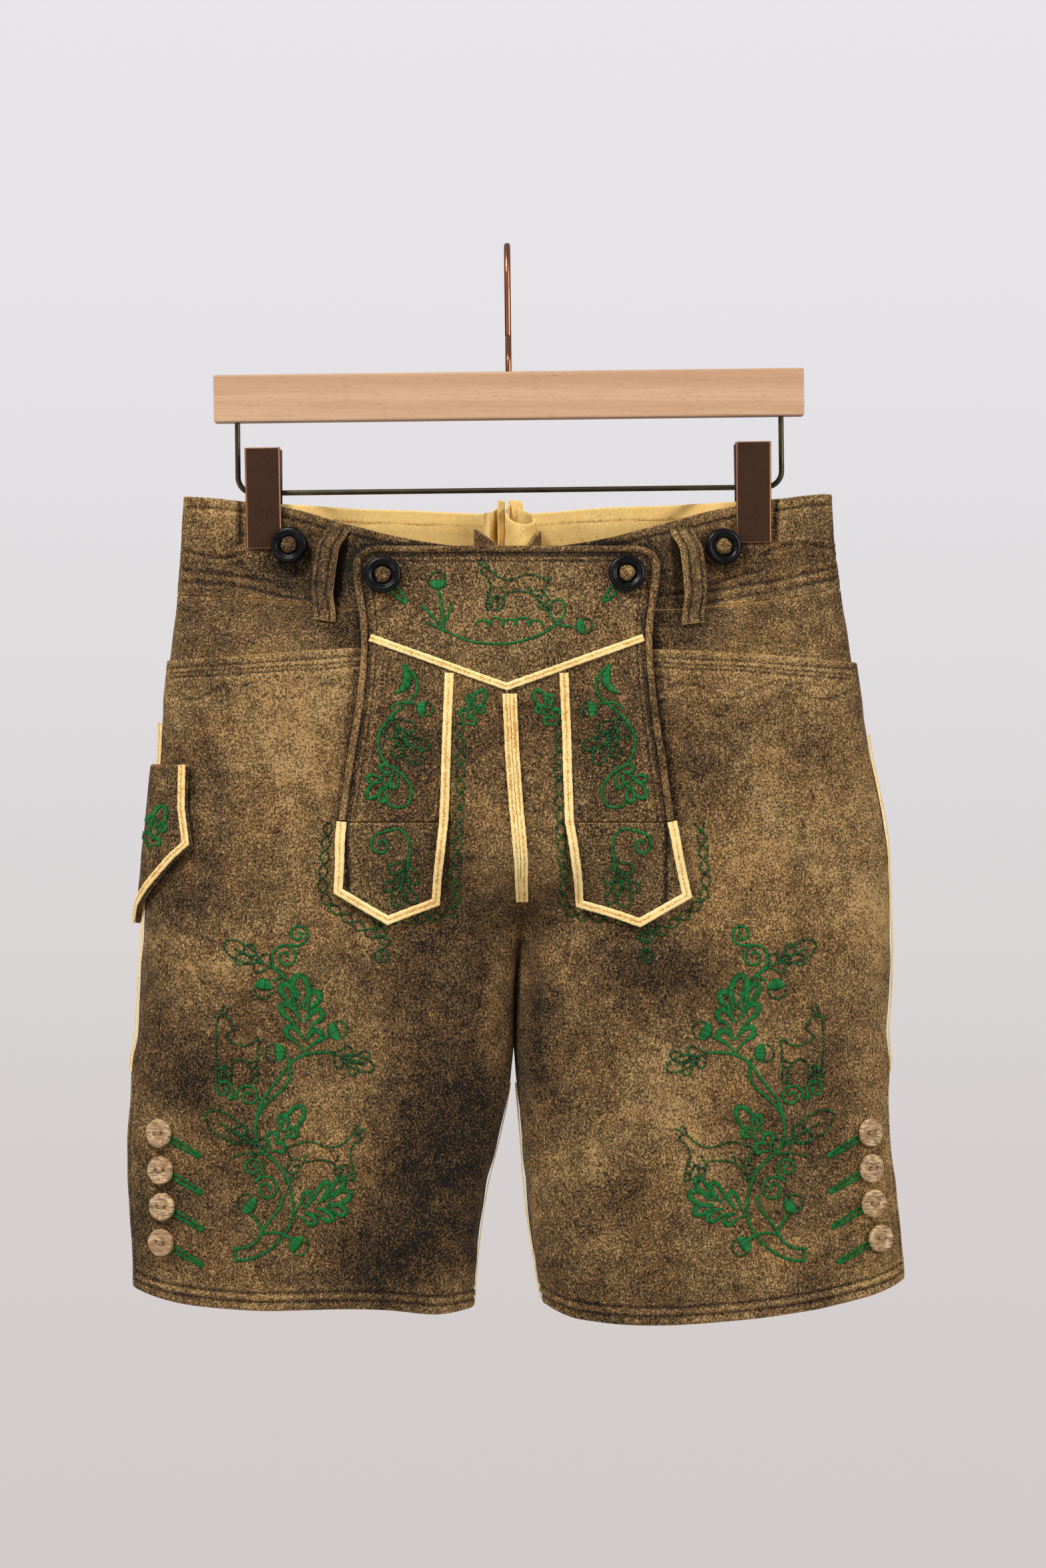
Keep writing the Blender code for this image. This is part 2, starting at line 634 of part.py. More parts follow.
def shield_trim(side, material):
    """The trim down the strip's inner edge and round the shield."""
    outer_top, outer_low, tip, inner_low = SHIELDS[side]
    sign, inset = SIGN[side], TRIM_WIDTH / 2
    start = yoke_edge(37.5) - 4.4
    line = [(sign * through(STRIP_IN, z), z) for z in (start, -330, -365, -388)]
    line += [
        (inner_low[0] + sign * 0.4 * inset, inner_low[1] + 0.8 * inset),
        (tip[0], tip[1] + 1.1 * inset),
        (outer_low[0] - sign * inset, outer_low[1] + 0.6 * inset),
        (outer_top[0] - sign * inset, outer_top[1] + 0.5),
    ]
    heights = densify(line, 22)[:, 1]
    base = np.where(heights > FLAP_END, FLAP_RISE, shield_rise(heights))
    low = base + TRIM_LIFT + 0.9 * smooth(FLAP_END + 10, FLAP_END - 10, heights)
    return ribbon(f"shield_trim_{side}", material, line, TRIM_WIDTH, low, low + TRIM)


def flap_binding(material):
    """The rolled edge of the drop front, from the foot of one slit round to the other."""
    inset = BINDING / 2
    half = FLAP_EDGE[0][1] - FLAP_CORNER
    radius = FLAP_CORNER - inset
    left = [(-(through(FLAP_EDGE, z) - inset), z) for z in (-387, -350, -318, -286, -254, -230)]
    turns = np.radians([180, 150, 120, 90])
    left += [
        (-half + radius * math.cos(t), FLAP_TOP - FLAP_CORNER + radius * math.sin(t)) for t in turns
    ]
    line = left + [(-x, z) for x, z in reversed(left)]
    return ribbon(
        "flap_binding", material, line, BINDING - SEAM, FLAP_RISE - LEATHER - 0.2, FLAP_RISE + 1.2
    )


def yoke_trim(material):
    low = FLAP_RISE + TRIM_LIFT
    line = [(-90.4, yoke_edge(90.4)), (0, yoke_edge(0)), (90.4, yoke_edge(90.4))]
    return ribbon("yoke_trim", material, line, 5.0, low, low + TRIM)


CENTRE_TRIM = [(2.0, -303.5), (3.5, -340), (6.5, -380), (9.6, -412), (10.4, -440)]


def centre_trim(side, material):
    """One of the two strips that lie side by side on the centre seam."""
    shift = SIGN[side] * 2.45
    line = [(x + shift, z) for x, z in CENTRE_TRIM]
    heights = densify(line, 22)
    rise = np.where(heights[:, 1] > FLAP_END, FLAP_RISE, flap_lift(0 * heights[:, 0], heights[:, 1]))
    low = rise + TRIM_LIFT + 0.5
    return ribbon(f"centre_trim_{side}", material, line, 4.6, low, low + TRIM)


# ---------------------------------------------------------------- sides and legs


def side_surface(side):
    return lambda arc, z, rise: FORM[side].place(arc, z, rise)


def knife_half_width(z):
    heights, widths = np.array(sorted(KNIFE_POCKET), float).T
    return np.interp(z, heights, widths)


def knife_pocket(material):
    """A long patch that wraps the wearer's right side, open at the top."""
    heights = (-457.5, -448, -432, -415, -404, -380, -350)
    shares = np.linspace(-1, 1, 11)
    z = np.repeat(np.array(heights)[:, None], len(shares), axis=1)
    arc = knife_half_width(z) * shares[None, :]
    return panel("knife_pocket", material, "r", arc, z, np.full_like(z, KNIFE_RISE))


def knife_trim(end, sign, material):
    """The trim on the knife pocket's front or back edge."""
    inset = TRIM_WIDTH / 2
    line = [(sign * (knife_half_width(z) - inset), z) for z in (-350.5, -380)]
    line += [(sign * (47 - 1.2 * inset), -403.0)]
    line += [(sign * (knife_half_width(z) - 0.4 * inset), z + 0.9 * inset) for z in (-415, -432, -448)]
    line += [(sign * 3.6, -457)]
    low = KNIFE_RISE + TRIM_LIFT + 0.7
    surface = side_surface("r")
    return ribbon(f"knife_trim_{end}", material, line, TRIM_WIDTH - 1, low, low + TRIM, surface)


def side_trim(side, material):
    """The trim on the side seam, from the pocket down to the vent."""
    form, top = FORM[side], {"r": -322, "l": -330}[side]
    heights = np.linspace(top, VENT + 9, 9)
    line = [(form.value("seam", z) + 0.2, z) for z in heights]
    low = np.array([leg_rise(0, 0, z) for z in heights]) + TRIM_LIFT
    return ribbon(f"side_trim_{side}", material, line, 4.6, low, low + TRIM, side_surface(side), 99)


def inseam_trim(side, material):
    """A narrow strip down the inside of the leg."""
    form, sign = FORM[side], SIGN[side]
    heights = np.linspace(-566, -712, 7)
    inner = form.value("inner", heights)
    near, far = inner - sign * TRIM_LIFT, inner - sign * (TRIM_LIFT + 1.1)
    front, back = np.full_like(inner, -2.2), np.full_like(inner, 2.2)
    outer = np.stack([np.stack([far, y, heights], axis=1) for y in (front, back)])
    low = np.stack([np.stack([near, y, heights], axis=1) for y in (front, back)])
    return wall(f"inseam_trim_{side}", material, outer, low)


LOOP_COLUMNS = ("side", "x_top", "z_top", "x_low", "z_low", "width")
FRONT_LOOPS = [("r", -112.5, -191, -121.5, -254, 15.0), ("l", 116.5, -191, 124.5, -256, 15.5)]
LOOP_PROUD = 9.5
LOOP_THICK = 2.0


def loop_profile(count):
    """Rise of a belt loop's inner face along its length: sewn down at both ends."""
    t = np.linspace(0, 1, count)
    return 1.0 + (LOOP_PROUD - LOOP_THICK) * smooth(0, 0.24, t) * smooth(1, 0.72, t)


def belt_loop_front(side, x_top, z_top, x_low, z_low, width, material):
    t = np.linspace(0, 1, 10)
    line = np.stack([x_top + (x_low - x_top) * t, z_top + (z_low - z_top) * t], axis=1)
    low = loop_profile(len(t))
    return ribbon(
        f"belt_loop_front_{side}", material, line, width, low, low + LOOP_THICK, on_front, 99
    )


# ---------------------------------------------------------------- the waist's gusset

GUSSET_THICK = 1.8
GUSSET_COLUMNS = ("x", "y", "top")
GUSSETS = {
    "gusset_fold": [(-14.5, 24, -176.5), (-15, 17, -177.5), (-13, 11.5, -178), (-10.6, 15, -177),
                    (-8.6, 20, -175), (-4.2, 22.5, -172), (-2.4, 18.6, -169.5), (-6.0, 15.6, -169)],
    "gusset_tube": [(1.2, 21, -171), (-0.2, 14, -175), (0.6, 7, -181), (5.5, 1.6, -185),
                    (12, 1.4, -186.5), (17.6, 6, -185), (18.4, 12.5, -181), (14, 17.6, -177),
                    (7, 18.2, -174)],
    "gusset_scroll": [(10.6, 21.8, -170), (4.6, 20.9, -168.5), (1.6, 24.2, -168), (4.6, 27.6, -168),
                      (9.2, 26.4, -168.5)],
}  # fmt: skip
PATCH = [(-22, 12, -188.5), (-17, 6, -192), (-9, 0.5, -198), (-1, -2.6, -203.5), (7, -3.4, -204.5),
         (14, -1.4, -201), (19.5, 4, -193.5), (22.5, 9.5, -190.5)]  # fmt: skip
GUSSET_FOOT = -224.0


def catmull(points, per_step):
    """A soft curve through points, any number of columns."""
    points = np.asarray(points, float)
    ends = np.vstack([2 * points[0] - points[1], points, 2 * points[-1] - points[-2]])
    out = []
    for a, b, c, d in zip(ends, ends[1:], ends[2:], ends[3:]):
        for t in np.arange(per_step) / per_step:
            out.append(
                0.5
                * (2 * b + (c - a) * t + (2 * a - 5 * b + 4 * c - d) * t**2 + (3 * b - a - 3 * c + d) * t**3)
            )
    return np.array(out + [points[-1]])


def standing_sheet(name, table, material):
    """Leather that stands on end along a curved line seen from above."""
    line = catmull(table, 3)
    outer = offset_line(line[:, :2], GUSSET_THICK / 2)
    inner = offset_line(line[:, :2], -GUSSET_THICK / 2)
    foot = np.full(len(line), GUSSET_FOOT)

    def skin(xy):
        return np.stack([np.column_stack([xy, foot]), np.column_stack([xy, line[:, 2]])])

    return wall(name, material, skin(outer), skin(inner))


# ---------------------------------------------------------------- buttons

RING_RADIUS, RING_BORE, RING_THICK = 12.4, 5.9, 5.0
KNOT_RADIUS = 5.2
FLAP_BUTTONS = {"r": (-82.0, -224.5), "l": (79.5, -223.5)}
WAIST_BUTTONS = {"r": (-147.0, -201.5), "l": (146.0, -202.5)}
WAIST_BUTTON_Y, WAIST_BUTTON_YAW = -9.2, 10.0
ANTLER_RADIUS, ANTLER_THICK = 9.4, 3.8
ANTLER_BUTTONS = {
    "r": [(-231.5, -597.0), (-230.5, -621.5), (-229.5, -646.0), (-230.0, -670.0)],
    "l": [(241.5, -597.0), (242.5, -621.0), (244.0, -644.5), (248.5, -668.0)],
}


def facing(point, out):
    """A matrix whose Z looks out of the leather and whose Y is as upright as it can be."""
    out = Vector(out).normalized()
    right = Vector((0, 0, 1)).cross(out).normalized()
    up = out.cross(right)
    return Matrix.Translation(Vector(point) * MM) @ Matrix((right, up, out)).transposed().to_4x4()


def turned(name, profile, sides, material, place):
    """A closed profile of (radius, height), turned round its axis and put in place."""
    bm = bmesh.new()
    rings = [
        [
            bm.verts.new((r * MM * math.cos(a), r * MM * math.sin(a), h * MM))
            for a in np.linspace(0, 2 * math.pi, sides, endpoint=False)
        ]
        for r, h in profile
    ]
    closed = profile[0][0] > 0 and len(profile) > 6
    pairs = list(zip(rings, rings[1:])) + ([(rings[-1], rings[0])] if closed else [])
    for a, b in pairs:
        for k in range(sides):
            bm.faces.new([a[k], a[(k + 1) % sides], b[(k + 1) % sides], b[k]])
    if not closed:
        bm.faces.new(rings[0][::-1])
        bm.faces.new(rings[-1])
    bm.transform(place)
    return finish(bm, name, material)


def ring_profile():
    middle = (RING_RADIUS + RING_BORE) / 2
    half = (RING_RADIUS - RING_BORE) / 2
    return [
        (middle + half * math.cos(a), RING_THICK / 2 * (1 + math.sin(a)))
        for a in np.linspace(0, 2 * math.pi, 8, endpoint=False)
    ]


def ring_button(name, place, horn, leather, knot_foot):
    """A horn ring with the leather knot that holds it."""
    turned(f"ring_button_{name}", ring_profile(), 18, horn, place)
    knot = [(KNOT_RADIUS, knot_foot), (KNOT_RADIUS, RING_THICK), (KNOT_RADIUS - 1.6, RING_THICK + 1.8)]
    turned(f"button_knot_{name}", knot, 8, leather, place)


def normal_at(point_function, x, z):
    base, out = point_function(x, z, 0.0), point_function(x, z, 1.0)
    return base, out - base


def ring_buttons(horn, leather):
    for side, (x, z) in FLAP_BUTTONS.items():
        base, out = normal_at(on_front, x, z)
        place = facing(base + out * (FLAP_RISE + 0.4), out)
        ring_button(f"flap_{side}", place, horn, leather, 0.0)
    for side, (x, z) in WAIST_BUTTONS.items():
        turn = math.radians(WAIST_BUTTON_YAW) * SIGN[side]
        place = facing((x, WAIST_BUTTON_Y, z), (math.sin(turn), -math.cos(turn), 0))
        ring_button(f"waist_{side}", place, horn, leather, -2.2)


def antler_buttons(antler):
    half = ANTLER_THICK / 2
    profile = [
        (ANTLER_RADIUS - 1.2, 0), (ANTLER_RADIUS, half * 0.8), (ANTLER_RADIUS - 0.3, half * 1.5),
        (ANTLER_RADIUS - 2, ANTLER_THICK),
    ]  # fmt: skip
    for side, rows in ANTLER_BUTTONS.items():
        for number, (x, z) in enumerate(rows, 1):
            base, out = normal_at(on_front, x, z)
            past = FORM[side].front_arc(x, z) - FORM[side].value("seam", z)
            lift = leg_rise(x, past, z) + 0.9
            turned(f"antler_button_{side}{number}", profile, 14, antler, facing(base + out * lift, out))


# ---------------------------------------------------------------- the hanger

TILT = math.radians(0.7)
BAR = dict(length=400.0, height=32.0, depth=13.0, top=-83.5)
HOOK_WIRE, HOOK_RADIUS, HOOK_TIP = 4.2, 21.0, -61.0
RAIL_WIRE, RAIL_HALF, RAIL_Z, RAIL_CORNER = 3.6, 184.5, -163.5, 11.0
CLIP_WIDTH, CLIP_TOP, CLIP_LOW = 24.0, -133.5, -201.5
CLIP_ON_RAIL = {"r": -167.1, "l": 164.9}  # before the hanger is tilted
CLIP_JAW_Y, CLIP_TOP_Y, CLIP_PLATE = 3.9, 11.5, 1.3
CLIP_FLANGE, CLIP_FLANGE_END = 4.2, -166.0


def box(bm, low, high):
    made = bmesh.ops.create_cube(bm, size=1.0)["verts"]
    low, high = np.array(low) * MM, np.array(high) * MM
    for v in made:
        v.co = Vector(low + (high - low) * (np.array(v.co) + 0.5))
    return made


def tilted(obj, hanger):
    obj.parent = hanger
    return obj


def hanger_bar(material, hanger):
    bm = bmesh.new()
    half, deep = BAR["length"] / 2, BAR["depth"] / 2
    box(bm, (-half, -deep, BAR["top"] - BAR["height"]), (half, deep, BAR["top"]))
    obj = finish(bm, "hanger_bar", material, round_it=False)
    bevel = obj.modifiers.new("Soft edges", "BEVEL")
    bevel.width, bevel.segments = 1.2 * MM, 2
    tilted(obj, hanger)


def bent_wire(name, points, wire, material, hanger):
    curve = bpy.data.curves.new(name, "CURVE")
    curve.dimensions = "3D"
    spline = curve.splines.new("POLY")
    spline.points.add(len(points) - 1)
    for p, (x, y, z) in zip(spline.points, points):
        p.co = (x * MM, y * MM, z * MM, 1)
    curve.bevel_depth, curve.bevel_resolution, curve.use_fill_caps = wire / 2 * MM, 2, True
    curve.materials.append(material)
    obj = bpy.data.objects.new(name, curve)
    bpy.context.scene.collection.objects.link(obj)
    tilted(obj, hanger)


def arc_points(centre, radius, start, end, count):
    turns = np.radians(np.linspace(start, end, count))
    return [(centre[0] + radius * math.cos(t), centre[1] + radius * math.sin(t)) for t in turns]


def hanger_hook(material, hanger):
    """Stands in the Y-Z plane: up from the bar, behind the rod, over it and down in front."""
    radius = HOOK_RADIUS + HOOK_WIRE / 2
    # The wire's underside at the crown is the origin.
    centre = HOOK_WIRE / 2 - radius
    stem_top = BAR["top"] + SEAM
    line = [(0, stem_top), (0, stem_top + 6), (2.5, stem_top + 12), (radius - 3, -56), (radius, -48)]
    line += arc_points((0, centre), radius, 0, 180, 13)
    line += [(-radius, -44), (-radius - 0.6, HOOK_TIP)]
    bent_wire("hanger_hook", [(0, y, z) for y, z in line], HOOK_WIRE, material, hanger)


def hanger_rail(material, hanger):
    """The wire under the bar that the clips ride on."""
    top = BAR["top"] - BAR["height"] - SEAM
    inner, low = RAIL_HALF - RAIL_CORNER, RAIL_Z + RAIL_CORNER
    line = [(-RAIL_HALF, top)] + arc_points((-inner, low), RAIL_CORNER, 180, 270, 6)
    line += arc_points((inner, low), RAIL_CORNER, 270, 360, 6) + [(RAIL_HALF, top)]
    bent_wire("hanger_rail", [(x, 0, z) for x, z in line], RAIL_WIRE, material, hanger)


def clip_plate(name, side, face, width, material, hanger):
    """One jaw of a clip. face is -1 for the front and 1 for the back."""
    bm = bmesh.new()
    middle, half = CLIP_ON_RAIL[side], width / 2
    box(bm, (middle - half, 0, CLIP_LOW), (middle + half, CLIP_PLATE, CLIP_TOP))
    slope = (CLIP_TOP_Y - CLIP_JAW_Y) / (CLIP_TOP - CLIP_LOW)
    for v in bm.verts:
        v.co.y = face * (v.co.y + (CLIP_JAW_Y + slope * (v.co.z / MM - CLIP_LOW)) * MM)
    plate = finish(bm, name, material, round_it=False)
    for sign in (-1, 1):
        bm = bmesh.new()
        edge_x = sorted((middle + sign * half, middle + sign * (half - 1.2)))
        box(bm, (edge_x[0], -CLIP_FLANGE, CLIP_FLANGE_END), (edge_x[1], CLIP_PLATE / 2, CLIP_TOP))
        for v in bm.verts:
            v.co.y = face * (v.co.y + (CLIP_JAW_Y + slope * (v.co.z / MM - CLIP_LOW)) * MM)
        flange = finish(bm, f"{name}_flange", material, round_it=False)
        flange.hide_render, flange.display_type = True, "WIRE"
        flange.parent = hanger
        join = plate.modifiers.new("Flange", "BOOLEAN")
        join.operation, join.object = "UNION", flange
    tilted(plate, hanger)


def clip_spring(side, material, hanger):
    """The sleeve on the rail between a clip's two jaws."""
    length, outer, bore = 14.0, 5.4, RAIL_WIRE / 2 + 0.35
    turn = Matrix.Rotation(math.radians(90), 4, "Y")
    place = Matrix.Translation(Vector((CLIP_ON_RAIL[side], 0, RAIL_Z)) * MM) @ turn
    half = length / 2
    profile = [(bore, -half), (outer, -half), (outer, -half / 2), (outer, half / 2), (outer, half),
               (bore, half), (bore, half / 2), (bore, -half / 2)]  # fmt: skip
    tilted(turned(f"clip_spring_{side}", profile, 12, material, place), hanger)


# ---------------------------------------------------------------- the whole object


def main():
    for obj in list(bpy.data.objects):
        bpy.data.objects.remove(obj)
    suede = finish_material("leg_leather", (0.16, 0.095, 0.045), 0.9)
    dark = finish_material("dark_leather", (0.085, 0.048, 0.028), 0.9)
    trim = finish_material("trim_suede", (0.72, 0.5, 0.2), 0.85)
    horn = finish_material("black_horn", (0.01, 0.01, 0.014), 0.25)
    antler = finish_material("antler", (0.4, 0.27, 0.15), 0.45)
    wood = finish_material("beech", (0.62, 0.42, 0.27), 0.55)
    copper = finish_material("copper_plate", (0.18, 0.08, 0.06), 0.4, 1.0)
    steel = finish_material("dark_wire", (0.06, 0.05, 0.035), 0.35, 1.0)
    hanger = bpy.data.objects.new("hanger", None)
    bpy.context.scene.collection.objects.link(hanger)
    hanger.rotation_euler = (0, -TILT, 0)

    for side in SIGN:
        leg_front(side, suede)
        leg_back(side, suede)
        waistband_front(side, suede)
        waistband_back(side, suede)
        hip_facing(side, suede)
        flap_strip(side, dark)
        shield(side, dark)
        shield_trim(side, trim)
        centre_trim(side, trim)
        side_trim(side, trim)
        inseam_trim(side, trim)
    flap_yoke(dark)
    flap_binding(suede)
    yoke_trim(trim)
    knife_pocket(dark)
    knife_trim("front", 1, trim)
    knife_trim("back", -1, trim)
    for row in FRONT_LOOPS:
        belt_loop_front(*row, suede)
    for name, table in GUSSETS.items():
        standing_sheet(name, table, trim)
    standing_sheet("gusset_patch", PATCH, dark)
    ring_buttons(horn, suede)
    antler_buttons(antler)

    hanger_bar(wood, hanger)
    hanger_hook(copper, hanger)
    hanger_rail(steel, hanger)
    for side in SIGN:
        clip_plate(f"clip_front_{side}", side, -1, CLIP_WIDTH, copper, hanger)
        clip_plate(f"clip_back_{side}", side, 1, CLIP_WIDTH, copper, hanger)
        clip_spring(side, steel, hanger)


main()
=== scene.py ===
"""The looks of short embroidered leather breeches that hang from a trouser hanger.

The leather follows one form: a ring of front and back curves at each height, for each
half. A place on it is (arc, z, rise): the arc runs from the side fold towards the front,
or backwards where it is negative, and rise is how far a layer stands off the form. All
tables are in millimetres, and the meshes are made in metres.
"""

import json
import math

import bmesh
import bpy
import numpy as np
from bpy.props import FloatProperty, FloatVectorProperty, PointerProperty
from mathutils import Matrix, Vector

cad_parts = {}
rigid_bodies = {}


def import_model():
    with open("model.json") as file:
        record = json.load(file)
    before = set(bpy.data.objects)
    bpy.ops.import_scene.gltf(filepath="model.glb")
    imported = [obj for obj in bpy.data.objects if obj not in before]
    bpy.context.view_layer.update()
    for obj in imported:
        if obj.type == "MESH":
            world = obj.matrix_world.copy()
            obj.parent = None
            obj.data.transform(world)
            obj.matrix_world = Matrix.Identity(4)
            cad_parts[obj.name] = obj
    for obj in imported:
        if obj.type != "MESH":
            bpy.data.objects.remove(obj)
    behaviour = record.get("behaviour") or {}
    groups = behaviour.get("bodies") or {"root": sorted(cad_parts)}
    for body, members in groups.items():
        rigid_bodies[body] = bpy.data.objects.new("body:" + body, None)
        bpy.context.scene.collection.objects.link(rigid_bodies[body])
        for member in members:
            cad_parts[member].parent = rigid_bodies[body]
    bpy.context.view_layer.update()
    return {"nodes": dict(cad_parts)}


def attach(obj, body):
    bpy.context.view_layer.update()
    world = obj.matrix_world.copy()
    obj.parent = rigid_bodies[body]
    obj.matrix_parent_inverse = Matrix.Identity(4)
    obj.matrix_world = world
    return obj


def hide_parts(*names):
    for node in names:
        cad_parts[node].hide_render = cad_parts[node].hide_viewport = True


bl_info = {
    "name": "Embroidered Leather Breeches",
    "version": (1, 0, 0),
    "blender": (4, 5, 0),
    "location": "3D View > Sidebar > Breeches",
    "description": "Makes the looks of leather breeches on a clip hanger",
    "category": "Object",
}

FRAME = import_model()
MM = 0.001

# ==== the form

COLUMNS = {  # where each half's values stand in a row of SECTIONS, after the height
    "r": {"fold": 1, "inner": 2, "seam": 3, "front": 7, "back": 8},
    "l": {"fold": 4, "inner": 5, "seam": 6, "front": 7, "back": 8},
}
SECTIONS = [
    (-150, -219.5, 0.0, 4, 220.5, 0.0, 2, 34, 27),
    (-206, -222.0, 0.0, 5, 223.0, 0.0, 2, 40, 31),
    (-250, -225.0, 0.0, 7, 229.0, 0.0, 2, 44, 36),
    (-300, -231.0, 0.0, 9, 236.5, 0.0, 3, 47, 43),
    (-350, -236.5, 2.0, 9, 247.5, 2.0, 5, 49, 49),
    (-400, -241.5, 6.5, 7, 257.0, 6.5, 5, 50, 52),
    (-440, -245.0, 10.0, 6, 259.0, 10.0, 5, 50, 50),
    (-470, -247.0, 7.0, 6, 260.0, 7.2, 5, 49, 48),
    (-500, -249.0, 4.6, 7, 259.5, 5.2, 5, 48, 46),
    (-540, -251.0, 3.6, 8, 257.0, 4.6, 5, 46, 44),
    (-570, -252.5, 0.5, 9, 255.5, 7.5, 5, 45, 43),
    (-600, -255.5, -5.5, 9, 257.0, 10.0, 5, 44, 42),
    (-640, -254.5, -15.0, 8, 261.5, 13.0, 5, 43, 42),
    (-680, -252.0, -20.5, 8, 265.5, 18.5, 5, 42, 42),
    (-740, -249.0, -24.0, 8, 266.5, 29.0, 5, 41, 42),
]
SIGN = {"r": -1, "l": 1}
CROTCH_TOP, CROTCH = -400, -492
FULLNESS = 2.35  # exponent of the rings: 2 is an ellipse, more is boxier
CLIP_X = {"r": -165.0, "l": 167.0}
PINCH_HALF, PINCH_FLAT, PINCH_IN, PINCH_OUT_KEEP = 3.0, 17.0, 75.0, 0.62
PINCH_FADE = (-212, -280)

# Folds, each from one place to another. The columns are x0, z0, x1, z1, half width, height.
FRONT_FOLDS = [
    (-122, -300, -126, -395, 15, -4.0), (124, -300, 128, -385, 15, -3.2), (27, -428, 26, -505, 9, 4.0),
    (45, -440, 50, -540, 13, -4.5), (-26, -425, -30, -500, 12, 3.2), (-205, -436, -150, -470, 9, 2.2),
    (-195, -412, -138, -436, 9, 1.6), (-205, -486, -175, -488, 9, 1.8),
    (-66, -520, -58, -690, 22, -5.0), (84, -600, 78, -700, 20, -3.0), (165, -560, 185, -690, 28, 3.0),
    (150, -330, 170, -420, 30, 3.0),
]
BACK_FOLDS = [
    (-110, -470, -30, -505, 14, -5.0), (115, -470, 32, -505, 14, -5.0),
    (-150, -440, -70, -462, 12, 2.6), (150, -445, 72, -465, 12, 2.6),
    (-120, -560, -110, -690, 26, -4.0), (125, -560, 130, -690, 24, 3.0),
    (-60, -250, -85, -330, 18, -2.6), (62, -250, 90, -330, 18, -2.6),
]

EDGES = {  # heights of edges, as (x, z)
    "waist_front": [(-222, -168), (-181, -171.5), (-150, -176), (-110, -188), (-60, -200),
                    (0, -206), (60, -200), (110, -187.5), (150, -176.5), (182, -171), (222, -166.5)],
    "waist_back": [(-222, -168), (-150, -173), (-60, -175), (0, -177), (60, -173), (150, -171.5),
                   (222, -166.5)],
    "band_front": [(-226, -235), (-170, -238), (-120, -244), (0, -250), (120, -245), (170, -240),
                   (227, -231)],
    "band_back": [(-226, -235), (-110, -238), (0, -239), (110, -237), (227, -231)],
    "pocket": [(-230, -280), (-162, -276.5), (-90, -272), (90, -273), (166, -276.5), (238, -281.5)],
    "hem_r": [(-256, -700), (-246, -704), (-225, -710), (-183, -714), (-78, -715), (-46, -719),
              (-18, -717)],
    "hem_l": [(24, -715), (40, -721), (60, -723.5), (150, -721.5), (187, -717), (224, -711),
              (250, -704.5), (268, -697)],
}
FLAP_EDGE = [(-200, 100), (-223, 100), (-262, 96.5), (-300, 98.5), (-350, 105.5), (-388, 110.5)]
STRIP_IN = [(-280, 37.5), (-340, 40.0), (-388, 41.5), (-445, 47.5)]
YOKE_V = [(0, -298.8), (88, -267)]
FLAP_TOP, FLAP_CORNER, FLAP_END = -204.6, 13.0, -388.0
BINDING = 5.0
LEATHER, SEAM = 2.2, 0.3
FLAP_RISE, POCKET_RISE, SLIT_IN, UNDER_RISE, OVERLAP = 6.0, 3.5, 7.0, 2.2, 16.0
VENT, VENT_RISE, VENT_LAP = -566.0, 2.9, 10.0
KNIFE_RISE = 5.4
SHIELDS = {  # corners: outer top, outer low, tip, inner low
    "r": ((-110.8, -388.6), (-115.0, -436.0), (-79.5, -457.5), (-46.5, -443.0)),
    "l": ((111.5, -388.6), (123.0, -439.0), (89.0, -459.0), (49.5, -443.5)),
}
# The knife pocket, as (z, half width).
KNIFE_POCKET = [(-350, 38), (-380, 41), (-404, 47), (-415, 35), (-432, 22), (-448, 10), (-458, 3.5)]


def smooth(low, high, value):
    """0 at low, 1 at high, with soft ends."""
    t = np.clip((np.asarray(value, float) - low) / (high - low), 0, 1)
    return t * t * (3 - 2 * t)


def floats(*values):
    """Values as arrays of numbers, all of one shape."""
    return np.broadcast_arrays(*(np.asarray(v, float) for v in values))


def level(rise=0.0):
    """The same rise everywhere."""
    return lambda u, z: rise + 0.0 * u


def through(table, at):
    """A soft curve through a table's two columns."""
    xs, ys = np.array(sorted(table), float).T
    slopes = np.gradient(ys, xs)
    at = np.clip(at, xs[0], xs[-1])
    i = np.clip(np.searchsorted(xs, at) - 1, 0, len(xs) - 2)
    step = xs[i + 1] - xs[i]
    t = (at - xs[i]) / step
    return (
        (2 * t**3 - 3 * t**2 + 1) * ys[i]
        + (t**3 - 2 * t**2 + t) * step * slopes[i]
        + (3 * t**2 - 2 * t**3) * ys[i + 1]
        + (t**3 - t**2) * step * slopes[i + 1]
    )


def edge(name, x):
    """The height of a named edge at x."""
    return through(EDGES[name], x)


def yoke_edge(x):
    (_, middle), (out, high) = YOKE_V
    return middle + (high - middle) * np.abs(x) / out


def from_stretch(a, b, u, z):
    """How far places (u, z) are from the straight stretch between a and b."""
    along = np.subtract(b, a)
    t = np.clip(((u - a[0]) * along[0] + (z - a[1]) * along[1]) / max(along @ along, 1e-9), 0, 1)
    return np.hypot(u - a[0] - t * along[0], z - a[1] - t * along[1])


def folds_at(rows, x, z):
    """How far soft folds raise the form."""
    total = np.zeros_like(x)
    for x0, z0, x1, z1, half_width, height in rows:
        away = from_stretch((x0, z0), (x1, z1), x, z)
        total = total + height * np.exp(-((away / half_width) ** 2))
    return total


def quarter(turn, power):
    c, s = np.cos(turn), np.sin(turn)
    return np.sign(c) * np.abs(c) ** power, np.abs(s) ** power


